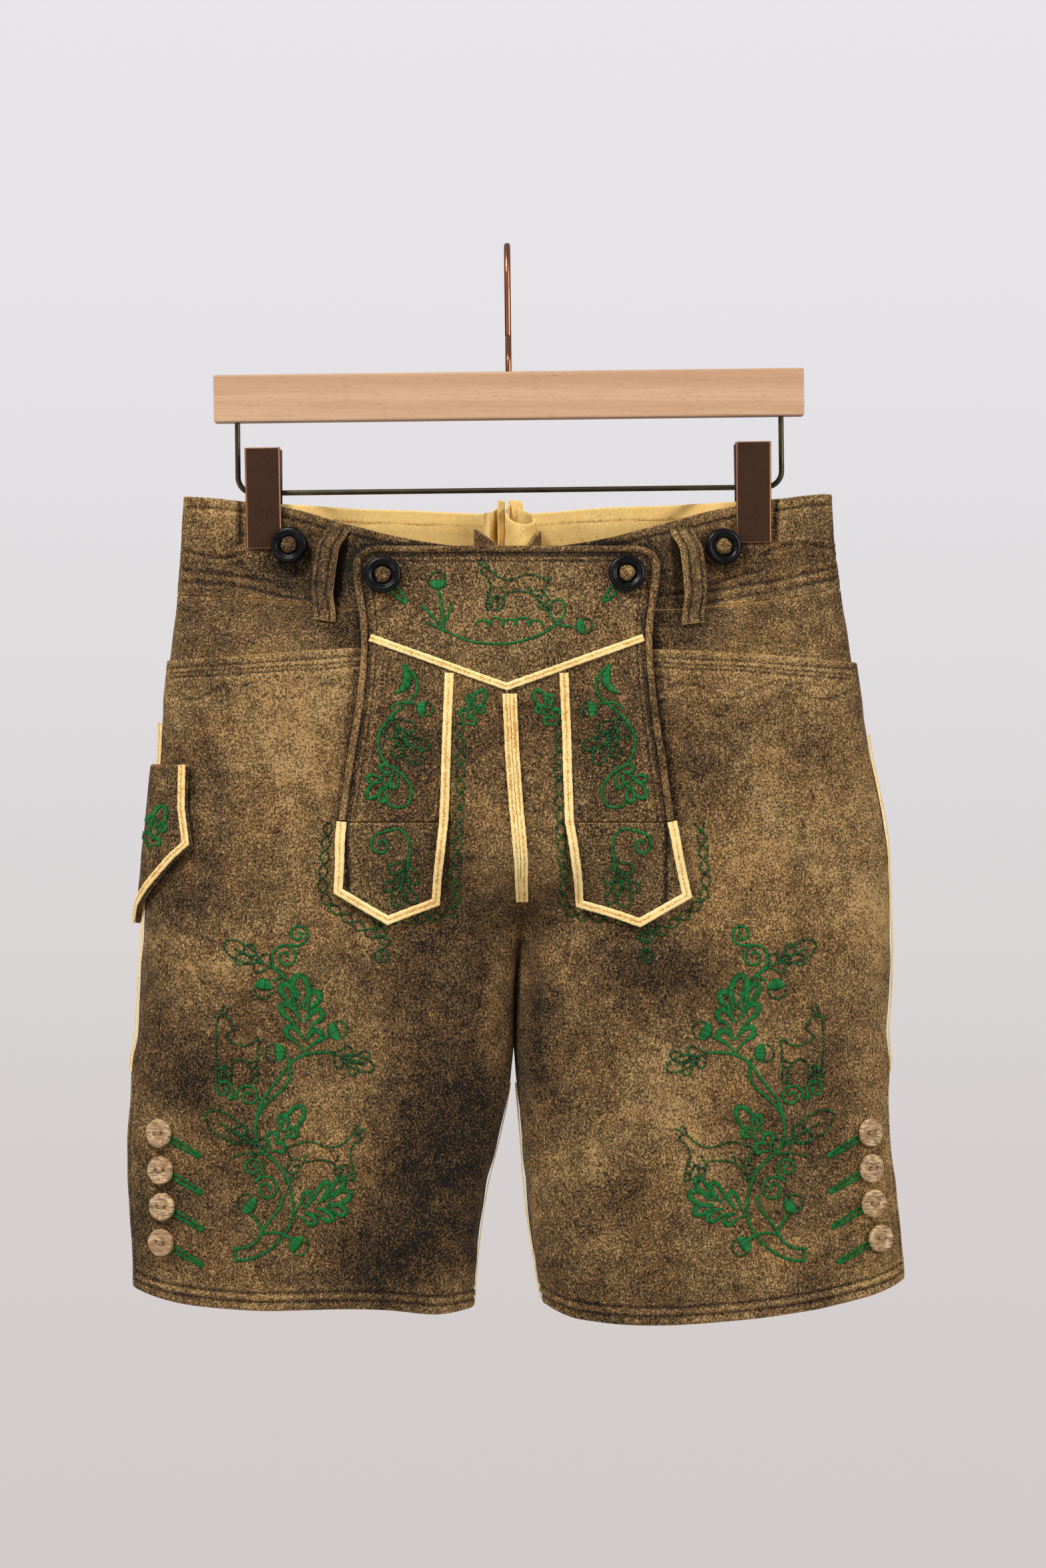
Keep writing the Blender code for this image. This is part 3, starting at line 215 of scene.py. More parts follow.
class Half:
    """One half of the leather form, sampled by height and by place round the ring."""

    STEP = 3.0
    HEIGHTS = np.arange(-740, -149, STEP)
    TURNS = np.linspace(-1, 1, 161)
    SHARES = 240

    def __init__(self, side):
        self.side = side
        self.column = {"z": self.HEIGHTS}
        for name, k in COLUMNS[side].items():
            self.column[name] = through([(row[0], row[k]) for row in SECTIONS], self.HEIGHTS)
        x, y, across = self.rings()
        length = np.hypot(np.diff(x, axis=1), np.diff(y, axis=1))
        arc = np.concatenate([np.zeros((len(x), 1)), np.cumsum(length, axis=1)], axis=1)
        arc -= arc[:, [len(self.TURNS) // 2]]
        self.front_length, self.back_length = arc[:, -1], -arc[:, 0]
        share = np.linspace(-1, 1, self.SHARES + 1)
        at = share * np.where(share > 0, self.front_length[:, None], self.back_length[:, None])
        self.x = np.array([np.interp(a, s, v) for a, s, v in zip(at, arc, x)])
        self.y = np.array([np.interp(a, s, v) for a, s, v in zip(at, arc, y)])
        # The share of the front's arc at even steps across it, and the same for the back.
        steps, middle = np.linspace(0, 1, self.SHARES + 1), len(self.TURNS) // 2
        both = list(zip(across, arc))
        self.front_share = np.array([np.interp(steps, a[middle:], s[middle:] / s[-1]) for a, s in both])
        self.back_share = np.array([np.interp(steps, a[middle::-1], s[middle::-1] / s[0]) for a, s in both])

    def rings(self):
        c = {k: v[:, None] for k, v in self.column.items()}
        turn, front = np.abs(self.TURNS)[None], self.TURNS[None] > 0
        leg = smooth(CROTCH_TOP, CROTCH, c["z"])
        power = 2 / FULLNESS
        trunk_c, trunk_s = quarter(turn * math.pi / 2, power)
        leg_c, leg_s = quarter(turn * math.pi, power)
        across = (1 - leg) * (1 - trunk_c) + leg * (1 - leg_c) / 2
        x = c["fold"] + (c["inner"] - c["fold"]) * across
        deep = (1 - leg) * trunk_s + leg * leg_s
        y = np.where(front, c["front"], c["back"]) * deep
        y = self.pinched(x, y, c["z"])
        soft = smooth(2, 22, y)
        bumps = np.where(front, folds_at(FRONT_FOLDS, x, c["z"]), folds_at(BACK_FOLDS, x, c["z"]))
        y = np.where(front, -1, 1) * (y + soft * bumps)
        # Where the legs lean on each other, their touching sides wave alike.
        touching = smooth(-430, -455, c["z"]) * smooth(-605, -565, c["z"]) * across**6
        lean = 2.6 * np.exp(-(((y + 15) / 10) ** 2)) - 2.6 * np.exp(-(((y - 15) / 10) ** 2))
        return x + touching * lean, y, across + 0 * x

    def pinched(self, x, y, z):
        """The clip presses front and back together, less and less away from it."""
        away = (x - CLIP_X[self.side]) * -SIGN[self.side]
        inward = 1 - smooth(PINCH_FLAT, PINCH_IN, away)
        outward = 1 - (1 - PINCH_OUT_KEEP) * smooth(PINCH_FLAT, 2.0 * PINCH_FLAT, -away)
        hold = np.where(away > 0, inward, outward) * smooth(*PINCH_FADE[::-1], z)
        return np.where(y > PINCH_HALF, y + (PINCH_HALF - y) * hold, y)

    def value(self, name, z):
        return np.interp(z, self.HEIGHTS, self.column[name])

    def lengths(self, z):
        """How long the front's and the back's half rings are."""
        return [np.interp(z, self.HEIGHTS, length) for length in (self.front_length, self.back_length)]

    def look_up(self, table, column, z):
        """Bilinear look-up in a table over height and column."""
        row = (np.clip(z, self.HEIGHTS[0], self.HEIGHTS[-2]) - self.HEIGHTS[0]) / self.STEP
        i, j = np.floor(row).astype(int), np.minimum(np.floor(column).astype(int), self.SHARES - 1)
        u, v = row - i, column - j
        low = table[i, j] * (1 - v) + table[i, j + 1] * v
        high = table[i + 1, j] * (1 - v) + table[i + 1, j + 1] * v
        return low * (1 - u) + high * u

    def point(self, arc, z):
        arc, z = floats(arc, z)
        front, back = self.lengths(z)
        share = np.clip(np.where(arc > 0, arc / front, arc / back), -1, 1)
        column = (share + 1) / 2 * self.SHARES
        return np.stack([self.look_up(self.x, column, z), self.look_up(self.y, column, z), z], axis=-1)

    def place(self, arc, z, rise=0.0):
        """The point that stands off the form by rise."""
        arc, z, rise = floats(arc, z, rise)
        step = 2.0
        front, back = self.lengths(z)
        before, after = np.maximum(arc - step, -back), np.minimum(arc + step, front)
        along = self.point(after, z) - self.point(before, z)
        up = self.point(arc, z + step) - self.point(arc, z - step)
        out = unit(np.cross(along, up) * SIGN[self.side])
        flip = np.sign(out[..., 1] * np.where(arc >= 0, -1.0, 1.0) + 1e-9)
        side = np.where(np.abs(arc) < 0.5 * front, SIGN[self.side], -SIGN[self.side])
        flip = np.where(np.abs(out[..., 1]) < 0.25, np.sign(out[..., 0] * side + 1e-9), flip)
        return self.point(arc, z) + out * (flip * rise)[..., None]

    def arc_at(self, x, z, back=False):
        """The arc at which the front, or the back, passes x."""
        x, z = floats(x, z)
        fold, inner = self.value("fold", z), self.value("inner", z)
        column = np.clip((x - fold) / (inner - fold), 0, 1) * self.SHARES
        front_length, back_length = self.lengths(z)
        if back:
            return -self.look_up(self.back_share, column, z) * back_length
        return self.look_up(self.front_share, column, z) * front_length


FORM = {side: Half(side) for side in SIGN}


def on_front(x, z, rise):
    """A point in front of the form, from its place as seen from the front."""
    x, z, rise = floats(x, z, rise)
    out = np.empty(x.shape + (3,))
    centre = np.minimum(FORM["l"].value("inner", z), FORM["r"].value("inner", z) + 50)
    for side in SIGN:
        mine = (x >= centre) == (side == "l")
        arc = FORM[side].arc_at(x[mine], z[mine])
        out[mine] = FORM[side].place(arc, z[mine], rise[mine])
    return out


# ==== how high each layer is


def flap_lift(x, z):
    """How far the leg's front rises towards the flap that it turns into."""
    grown = smooth(-460, FLAP_END, z)
    middle = 1 - smooth(36, 43.5, np.abs(x))
    under = 1 - smooth(98, 114, np.abs(x))
    return grown * (FLAP_RISE * middle + UNDER_RISE * (1 - middle) * under)


def leg_rise(past_seam, z):
    """The rise of the leg's front, outside the flap."""
    pocket = POCKET_RISE * smooth(-350, -305, z)
    vent = VENT_RISE * smooth(VENT + 40, VENT + 10, z) * (1 - smooth(12, 50, past_seam))
    return np.maximum(pocket, vent)


def shield_rise(z):
    """The shield starts level with the strip and comes down onto the leg."""
    return UNDER_RISE * smooth(-460, FLAP_END, z) + FLAP_RISE - UNDER_RISE


WAVES = [(0.071, 0.043, 0.3, 0.30), (-0.052, 0.089, 1.7, 0.26), (0.133, -0.061, 4.1, 0.16),
         (0.037, 0.171, 2.2, 0.14), (0.211, 0.127, 0.9, 0.09), (-0.173, 0.249, 3.3, 0.07)]


def unevenness(u, z):
    """Leather never lies quite flat: a few slow waves, none over a third of a millimetre."""
    return sum(size * np.sin(a * u + b * z + start) for a, b, start, size in WAVES)


# ==== lines, seams and panels


def densify(line, step):
    """Points added along straight stretches."""
    out = [np.asarray(line[0], float)]
    for a, b in zip(line[:-1], line[1:]):
        a, b = np.asarray(a, float), np.asarray(b, float)
        count = max(1, round(np.linalg.norm(b - a) / step))
        out += [a + (b - a) * k / count for k in range(1, count + 1)]
    return np.array(out)


def catmull(points, per_step):
    """A soft curve through points, with any number of columns."""
    points = np.asarray(points, float)
    ends = np.vstack([2 * points[0] - points[1], points, 2 * points[-1] - points[-2]])
    out = []
    for a, b, c, d in zip(ends, ends[1:], ends[2:], ends[3:]):
        for t in np.arange(per_step) / per_step:
            bend = (2 * a - 5 * b + 4 * c - d) * t**2 + (3 * b - a - 3 * c + d) * t**3
            out.append(0.5 * (2 * b + (c - a) * t + bend))
    return np.array(out + [points[-1]])


def run_along(line):
    """How far along a line each of its points lies."""
    return np.concatenate([[0], np.cumsum(np.linalg.norm(np.diff(line, axis=0), axis=1))])


def unit(vectors):
    return vectors / np.linalg.norm(vectors, axis=-1, keepdims=True)


def even(line, pitch):
    """The line again, with points an even distance apart."""
    line = np.asarray(line, float)
    run = run_along(line)
    at = np.linspace(0, run[-1], max(2, round(run[-1] / pitch) + 1))
    return np.stack([np.interp(at, run, line[:, k]) for k in range(line.shape[1])], axis=1)


def offset_line(line, width):
    """The line's points moved sideways, with mitred corners."""
    line = np.asarray(line, float)
    direction = unit(np.diff(line, axis=0))
    normal = np.stack([-direction[:, 1], direction[:, 0]], axis=1)
    before, after = np.vstack([normal[:1], normal]), np.vstack([normal, normal[-1:]])
    middle = unit(before + after)
    reach = 1 / np.maximum((middle * before).sum(1), 0.35)
    return line + middle * reach[:, None] * np.asarray(width, float)[..., None]


def distance_to(line, u, z):
    """How far points (u, z) are from a line of points."""
    best = np.full(u.shape, 1e9)
    for a, b in zip(line[:-1], line[1:]):
        best = np.minimum(best, from_stretch(a, b, u, z))
    return best


class Seam:
    """A row of stitches along a line, and the groove that it draws into the leather."""

    def __init__(self, line, groove=0.55, puff=0.35, soften=1.0):
        self.line, self.groove, self.puff, self.soften = np.asarray(line, float), groove, puff, soften


class Skin:
    """A leather surface: where it lies, how high it is, and what is sewn through it."""

    def __init__(self, place, rise, seams=(), uneven=1.0, extra=None):
        self.place, self.rise, self.seams = place, rise, list(seams)
        self.uneven, self.extra = uneven, extra

    def detail(self, u, z):
        """The height that seams and creases add, and the shade value: painted shade in grooves and troughs,
        lighter puffs and ridges that are partly rubbed nap and partly painted light, and each skin's own
        tones.
        """
        height = self.uneven * unevenness(u, z)
        shade = np.zeros_like(height)
        for seam in self.seams:
            away = distance_to(seam.line, u, z)
            dip = np.exp(-((away / (1.1 * seam.soften)) ** 2))
            puff = np.exp(-(((away - 3.0) / 1.7) ** 2))
            height = height - seam.groove * dip + seam.puff * puff
            # Painted shade in the seam's groove, and a lighter puff beside it, partly rubbed nap and partly
            # painted light.
            shade = shade - 0.75 * np.exp(-((away / 0.8) ** 2)) + 0.25 * puff
        if self.extra is not None:
            more, tone = self.extra(u, z)
            height, shade = height + more, shade + tone
        return height, shade

    def at(self, u, z, above=0.0):
        u, z = floats(u, z)
        return self.place(u, z, self.rise(u, z) + self.detail(u, z)[0] + above)


class Ruler:
    """Places along a span: fixed distances near both ends, and even shares between them."""

    EDGE = (0.0, 0.35, 0.9, 1.6)

    def __init__(self, count, near=(), far=()):
        near, far = self.marked(near), self.marked(far)
        self.total = near[-1] + far[-1]
        middle = np.linspace(0, 1, count + 1)[1:-1]
        self.fixed = np.concatenate([near, np.full(len(middle), near[-1]), self.total - far[::-1]])
        self.share = np.concatenate([np.zeros(len(near)), middle, np.ones(len(far))])

    @classmethod
    def marked(cls, marks):
        """The edge's own steps, and closer ones at each mark."""
        out = set(cls.EDGE)
        for mark in marks:
            out |= {mark + step for step in (-2.6, -1.3, -0.6, 0, 0.6, 1.3, 2.6)}
        kept = []
        for v in sorted(v for v in out if v >= 0):
            if not kept or v - kept[-1] > 0.3:
                kept.append(v)
        return np.array(kept)

    def at(self, low, high):
        """Places between low and high, which already have this ruler's axis last."""
        low, high = np.asarray(low, float), np.asarray(high, float)
        return low + np.sign(high - low) * (self.fixed + self.share * (np.abs(high - low) - self.total))


# ==== meshes


def new_object(name, mesh, *materials):
    for material in materials:
        mesh.materials.append(material)
    obj = bpy.data.objects.new(name.replace("_", "-"), mesh)
    bpy.context.scene.collection.objects.link(obj)
    return obj


def from_bmesh(name, bm):
    mesh = bpy.data.meshes.new(name)
    bm.to_mesh(mesh)
    bm.free()
    return mesh


def smoothed(mesh, angle):
    """Shaded smooth, apart from edges sharper than an angle in degrees."""
    mesh.shade_smooth()
    mesh.set_sharp_from_angle(angle=math.radians(angle))
    return mesh


def signed_volume(points, quads):
    a, b, c, d = (points[quads[:, k]] for k in range(4))
    return (np.cross(b - a, c - a) * a).sum() + (np.cross(c - a, d - a) * a).sum()


def shell(name, outer, inner, materials, present=None, shade=None, uv=None):
    """A closed wall between two grids of points in millimetres, which becomes an object.

    The materials are the skin's, the inside's and the cut edge's. present leaves out cells.
    """
    rows, columns = outer.shape[:2]
    present = np.ones((rows - 1, columns - 1), bool) if present is None else present
    index = np.arange(rows * columns).reshape(rows, columns)
    j, i = np.nonzero(present)
    corners = np.stack([index[j, i], index[j, i + 1], index[j + 1, i + 1], index[j + 1, i]], axis=1)
    count = rows * columns
    skin, lining = corners, corners[:, ::-1] + count
    sides = np.concatenate([corners[:, [a, (a + 1) % 4]] for a in range(4)])
    key = np.sort(sides, axis=1) @ np.array([count, 1])
    _, first, uses = np.unique(key, return_index=True, return_counts=True)
    rim = sides[first[uses == 1]]
    rim = np.stack([rim[:, 1], rim[:, 0], rim[:, 0] + count, rim[:, 1] + count], axis=1)
    faces = np.concatenate([skin, lining, rim])
    points = np.concatenate([outer.reshape(-1, 3), inner.reshape(-1, 3)])
    if signed_volume(points, faces) < 0:
        faces = faces[:, ::-1]
    used = np.zeros(len(points), bool)
    used[faces.ravel()] = True
    renumber = np.cumsum(used) - 1
    faces, points = renumber[faces], points[used]
    mesh = bpy.data.meshes.new(name)
    mesh.from_pydata((points * MM).tolist(), [], faces.tolist())
    slot = np.minimum(np.repeat([0, 1, 2], [len(skin), len(lining), len(rim)]), len(materials) - 1)
    mesh.polygons.foreach_set("material_index", slot.astype(np.int32))
    tone = np.zeros(rows * columns) if shade is None else np.asarray(shade, float).ravel()
    layer = mesh.attributes.new("shade", "FLOAT", "POINT")
    layer.data.foreach_set("value", np.concatenate([tone, tone])[used].astype(np.float32))
    if uv is not None:
        flat = np.concatenate([uv.reshape(-1, 2)] * 2)[used] * MM
        loops = np.empty(len(mesh.loops), np.int32)
        mesh.loops.foreach_get("vertex_index", loops)
        mesh.uv_layers.new(name="weft").data.foreach_set("uv", flat[loops].astype(np.float32).ravel())
    return new_object(name, smoothed(mesh, 65), *materials)


def rounding(away, radius=1.1):
    """How far a rolled or cut edge drops, by the distance from it."""
    t = np.clip(1 - away / radius, 0, 1)
    return radius * (1 - np.sqrt(1 - t * t))


def leather_shell(name, skin, u, z, materials, present=None, thickness=LEATHER, free=None, roll=1.0):
    """A panel of leather on its skin. free is the distance to the nearest edge."""
    height, shade = skin.detail(u, z)
    rise = skin.rise(u, z)
    drop = np.zeros_like(u) if free is None else roll * rounding(free)
    outer = skin.place(u, z, rise + height - drop)
    inner = skin.place(u, z, rise - thickness + 0.8 * drop)
    if free is not None:
        shade = shade + 0.5 * np.exp(-((free / 1.5) ** 2))
    return shell(name, outer, inner, materials, present, shade, np.stack([u, z], axis=-1))


def tube(name, line, radius, material, sides=16):
    """A round bar along points in millimetres."""
    line = np.asarray(line, float)
    radius = np.broadcast_to(radius, len(line))
    tangent = unit(np.gradient(line, axis=0))
    side = np.cross(tangent[0], (0.31, 0.52, 0.79))
    sides_of = []
    for t in tangent:
        side = side - t * (side @ t)
        side /= np.linalg.norm(side)
        sides_of.append(side)
    side = np.array(sides_of)
    up = np.cross(tangent, side)
    turn = np.linspace(0, 2 * math.pi, sides, endpoint=False)
    ring = side[:, None] * np.cos(turn)[None, :, None] + up[:, None] * np.sin(turn)[None, :, None]
    points = (line[:, None] + ring * radius[:, None, None]).reshape(-1, 3)
    count = len(line)
    j, i = (v.ravel() for v in np.meshgrid(np.arange(count - 1), np.arange(sides), indexing="ij"))
    n, k = j + 1, (i + 1) % sides
    faces = np.stack([j * sides + i, j * sides + k, n * sides + k, n * sides + i], axis=1).tolist()
    faces += [list(range(sides))[::-1], list(range((count - 1) * sides, count * sides))]
    mesh = bpy.data.meshes.new(name)
    mesh.from_pydata((points * MM).tolist(), [], faces)
    return new_object(name, tidy_normals(smoothed(mesh, 50)), material)


def tidy_normals(mesh):
    """Normals of a closed mesh turned outwards."""
    bm = bmesh.new()
    bm.from_mesh(mesh)
    bmesh.ops.recalc_face_normals(bm, faces=bm.faces)
    if bm.calc_volume(signed=True) < 0:
        bmesh.ops.reverse_faces(bm, faces=bm.faces)
    bm.to_mesh(mesh)
    bm.free()
    return mesh


def facing(point, out):
    """A matrix whose Z looks out of the leather and whose Y is as upright as it can be."""
    out = Vector(out).normalized()
    right = Vector((0, 0, 1)).cross(out).normalized()
    up = out.cross(right)
    return Matrix.Translation(Vector(point) * MM) @ Matrix((right, up, out)).transposed().to_4x4()


def facing_front(x, z, rise):
    """The same, for a place on the front that stands off the form by rise."""
    base, top = on_front(x, z, 0.0), on_front(x, z, 1.0)
    return facing(base + (top - base) * rise, top - base)


def applied(obj):
    """The object with its modifiers made real."""
    mesh = bpy.data.meshes.new_from_object(obj.evaluated_get(bpy.context.evaluated_depsgraph_get()))
    obj.modifiers.clear()
    old, obj.data = obj.data, mesh
    bpy.data.meshes.remove(old)
    mesh.name = obj.name
    return obj


def turned(name, profile, sides, material, matrix, wobble=np.zeros_like, smooth_angle=40):
    """A profile of (radius, height) turned round its axis and put in place."""
    turn = np.linspace(0, 2 * math.pi, sides, endpoint=False)
    bm = bmesh.new()
    rings = []
    for r, h in profile:
        if r < 1e-6:
            rings.append([bm.verts.new((0, 0, h * MM))] * sides)
            continue
        radii = r * (1 + wobble(turn))
        places = np.stack([radii * np.cos(turn), radii * np.sin(turn), 0 * turn + h], axis=1) * MM
        rings.append([bm.verts.new(place) for place in places])
    whole = profile[0][0] > 1e-6 and profile[-1][0] > 1e-6
    for a, b in list(zip(rings, rings[1:])) + ([(rings[-1], rings[0])] if whole else []):
        for k in range(sides):
            corners = [a[k], a[(k + 1) % sides], b[(k + 1) % sides], b[k]]
            corners = [v for n, v in enumerate(corners) if v not in corners[:n]]
            if len(corners) > 2:
                bm.faces.new(corners)
    bm.transform(matrix)
    return new_object(name, tidy_normals(smoothed(from_bmesh(name, bm), smooth_angle)), material)


# ==== stitches, by Geometry Nodes


def stitch_tree():
    """One stitch on every point, lying along it, as wide and high as the point says."""
    tree = bpy.data.node_groups.new("Stitches", "GeometryNodeTree")
    for name, kind in (("Geometry", "Geometry"), ("Seed", "Int"), ("Thread", "Material")):
        tree.interface.new_socket(name, in_out="INPUT", socket_type=f"NodeSocket{kind}")
    tree.interface.new_socket("Geometry", in_out="OUTPUT", socket_type="NodeSocketGeometry")
    n = Nodes(tree)
    given = n.add("NodeGroupInput").outputs

    def vector(name):
        kind = {"data_type": "FLOAT_VECTOR"}
        return n.made("GeometryNodeInputNamedAttribute", "Attribute", kind, Name=name)

    ball = n.made("GeometryNodeMeshUVSphere", "Mesh", Segments=5, Rings=3, Radius=0.5)
    lying = n.made("GeometryNodeTransform", "Geometry", Geometry=ball, Rotation=(0, math.pi / 2, 0))
    soft = n.made("GeometryNodeSetShadeSmooth", "Geometry", Geometry=lying)
    align = "FunctionNodeAlignRotationToVector"
    turn = n.made(align, "Rotation", {"axis": "X"}, Vector=vector("along"))
    turn = n.made(align, "Rotation", {"axis": "Z", "pivot_axis": "X"}, Rotation=turn, Vector=vector("out"))
    put = n.made("GeometryNodeInstanceOnPoints", "Instances", Points=given["Geometry"], Instance=soft,
                 Rotation=turn, Scale=vector("size"))
    chance = n.made("FunctionNodeRandomValue", "Value", {"data_type": "FLOAT"}, Seed=given["Seed"])
    kind = {"data_type": "FLOAT", "domain": "INSTANCE"}
    toned = n.made("GeometryNodeStoreNamedAttribute", "Geometry", kind, Geometry=put, Name="strand",
                   Value=chance)
    real = n.made("GeometryNodeRealizeInstances", "Geometry", Geometry=toned)
    sewn = n.made("GeometryNodeSetMaterial", "Geometry", Geometry=real, Material=given["Thread"])
    n.feed(n.add("NodeGroupOutput").inputs["Geometry"], sewn)
    return tree


def baked(obj, tree, inputs):
    """The object run through a node tree, as a plain mesh with no modifier left."""
    modifier = obj.modifiers.new("nodes", "NODES")
    modifier.node_group = tree
    sockets = {s.name: s.identifier for s in tree.interface.items_tree if s.in_out == "INPUT"}
    for name, value in inputs.items():
        modifier[sockets[name]] = value
    return applied(obj)


class Needle:
    """Collects stitches, each from one place on a skin to another, and makes them."""

    def __init__(self):
        self.middle, self.along, self.out, self.size = [], [], [], []

    def sew(self, skin, starts, ends, width, height, above=0.05):
        a, b = skin.at(*starts.T, above), skin.at(*ends.T, above)
        centre = (starts + ends) / 2
        low, high = skin.at(*centre.T, 0.0), skin.at(*centre.T, 1.0)
        length = np.linalg.norm(b - a, axis=1)
        # A long stitch lies on the leather between its ends, not through it.
        on_leather = high + (low - high) * (1 - above)
        self.middle.append(np.where(length[:, None] > 4, on_leather, (a + b) / 2))
        self.along.append(b - a)
        self.out.append(high - low)
        wide, tall = np.broadcast_to(width, len(a)), np.broadcast_to(height, len(a))
        self.size.append(np.stack([length, wide, tall], axis=1))

    def run(self, skin, line, pitch, width, height, gap=0.28, above=0.0):
        """Running stitches along a line."""
        points = even(line, pitch)
        step = (points[1:] - points[:-1]) * gap / 2
        self.sew(skin, points[:-1] + step, points[1:] - step, width, height, above)

    def make(self, name, tree, thread):
        points = np.concatenate(self.middle)
        mesh = bpy.data.meshes.new(name)
        mesh.from_pydata((points * MM).tolist(), [], [])
        for key, rows, scale in (("along", self.along, 1), ("out", self.out, 1), ("size", self.size, MM)):
            values = (np.concatenate(rows) * scale).astype(np.float32)
            mesh.attributes.new(key, "FLOAT_VECTOR", "POINT").data.foreach_set("vector", values.ravel())
        obj = new_object(name, mesh)
        return baked(obj, tree, {"Seed": len(points), "Thread": thread})


# ==== materials


def srgb(red, green, blue):
    """A colour given in 0 to 255 steps, as a linear one."""
    out = []
    for v in (red / 255, green / 255, blue / 255):
        out.append(v / 12.92 if v <= 0.04045 else ((v + 0.055) / 1.055) ** 2.4)
    return tuple(out)


class Nodes:
    """Short ways to add shader nodes to a material or a group."""

    def __init__(self, tree):
        self.tree = tree

    def add(self, kind, **settings):
        made = self.tree.nodes.new(kind)
        for key, value in settings.items():
            setattr(made, key, value)
        return made

    def feed(self, socket, value):
        if isinstance(value, bpy.types.NodeSocket):
            self.tree.links.new(value, socket)
        else:
            socket.default_value = value

    def made(self, kind, out, settings=(), **inputs):
        """One output of a new node, whose inputs are given by name."""
        node = self.add(kind, **dict(settings))
        for key, value in inputs.items():
            self.feed(node.inputs[key], value)
        return node.outputs[out]

    def noise(self, vector, scale, detail=2.0, roughness=0.5, distortion=0.0):
        return self.made("ShaderNodeTexNoise", "Fac", Vector=vector, Scale=scale, Detail=detail,
                         Roughness=roughness, Distortion=distortion)

    def math(self, operation, *values, clamp=False):
        made = self.add("ShaderNodeMath", operation=operation, use_clamp=clamp)
        for socket, value in zip(made.inputs, values):
            self.feed(socket, value)
        return made.outputs[0]

    def span(self, value, low, high, to_low=0.0, to_high=1.0):
        """A value moved from one range to another and kept inside it, with soft ends."""
        made = self.add("ShaderNodeMapRange", interpolation_type="SMOOTHSTEP")
        for k, v in enumerate((value, low, high, to_low, to_high)):
            self.feed(made.inputs[k], v)
        return made.outputs[0]

    def mix(self, share, a, b, blend="MIX"):
        made = self.add("ShaderNodeMix", data_type="RGBA", blend_type=blend)
        self.feed(made.inputs["Factor"], share)
        for socket, value in ((made.inputs[6], a), (made.inputs[7], b)):
            self.feed(socket, value if isinstance(value, bpy.types.NodeSocket) else (*value[:3], 1))
        return made.outputs[2]

    def stretch(self, vector, scale, turn=(0, 0, 0)):
        return self.made("ShaderNodeMapping", 0, Vector=vector, Scale=scale, Rotation=turn)

    def bump(self, height, strength, distance):
        return self.made("ShaderNodeBump", 0, Height=height, Strength=strength, Distance=distance)

    def attribute(self, name):
        return self.add("ShaderNodeAttribute", attribute_name=name).outputs["Fac"]

    def place(self):
        return self.add("ShaderNodeTexCoord").outputs["Object"]


def group(name, inputs, fill):
    """A shader group, built once. fill gets the nodes and the input sockets."""
    if name in bpy.data.node_groups:
        return bpy.data.node_groups[name]
    tree = bpy.data.node_groups.new(name, "ShaderNodeTree")
    for key, kind in inputs.items():
        tree.interface.new_socket(key, in_out="INPUT", socket_type=f"NodeSocket{kind}")
    for key, kind in (("Color", "Color"), ("Height", "Float"), ("Roughness", "Float")):
        tree.interface.new_socket(key, in_out="OUTPUT", socket_type=f"NodeSocket{kind}")
    nodes = Nodes(tree)
    given, end = nodes.add("NodeGroupInput").outputs, nodes.add("NodeGroupOutput").inputs
    for socket, value in zip(end, fill(nodes, given)):
        nodes.feed(socket, value)
    return tree


def nap_group():
    """Napped leather: fine speckle, cloudy patches, and the shade attribute's painted light and shade: dark
    grooves, creases and cast shadows, and lighter ridges, partly rubbed nap.
    """

    def fill(n, given):
        place = given["Place"]
        fine = n.noise(place, 820.0, 2.0, 0.6)
        hair = n.noise(n.stretch(place, (1.0, 1.0, 0.42), (0.3, 0.2, 0.5)), 1350.0, 1.0, 0.6)
        patch = n.noise(place, 110.0, 2.0, 0.6)
        cloud = n.noise(place, 11.0, 3.0, 0.6, 0.5)
        speck = n.math("ADD", n.math("MULTIPLY", fine, 0.62), n.math("MULTIPLY", hair, 0.38))
        speck = n.math("MULTIPLY", n.math("SUBTRACT", speck, 0.5), given["Speckle"])
        broad = n.math("MULTIPLY", n.math("SUBTRACT", cloud, 0.5), given["Clouds"])
        small = n.math("MULTIPLY", n.math("SUBTRACT", patch, 0.5), 0.5)
        tone = n.math("ADD", n.math("ADD", speck, broad), n.math("ADD", small, 0.5))
        # The shade attribute moves the tone: painted shade in grooves, creases and cast shadows, painted
        # light where a side faces the lamps, and nap rubbed pale in places and handled dark in others.
        tone = n.math("ADD", tone, n.math("MULTIPLY", given["Shade"], 0.3), clamp=True)
        low = n.mix(n.span(tone, 0.08, 0.5), given["Dark"], given["Middle"])
        colour = n.mix(n.span(tone, 0.5, 0.95), low, given["Light"])
        # The hue drifts a little between redder and greener brown.
        warm = n.span(n.noise(place, 27.0, 2.0), 0.35, 0.65)
        redder = n.mix(1.0, colour, (1.0, 0.82, 0.62), "MULTIPLY")
        colour = n.mix(n.math("MULTIPLY", warm, 0.36), colour, redder)
        height = n.math("ADD", n.math("MULTIPLY", fine, 0.7), n.math("MULTIPLY", hair, 0.5))
        rough = n.span(tone, 0.0, 1.0, 0.93, 0.8)
        return colour, height, rough

    inputs = {"Place": "Vector", "Light": "Color", "Middle": "Color", "Dark": "Color",
              "Speckle": "Float", "Clouds": "Float", "Shade": "Float"}
    return group("Napped leather", inputs, fill)


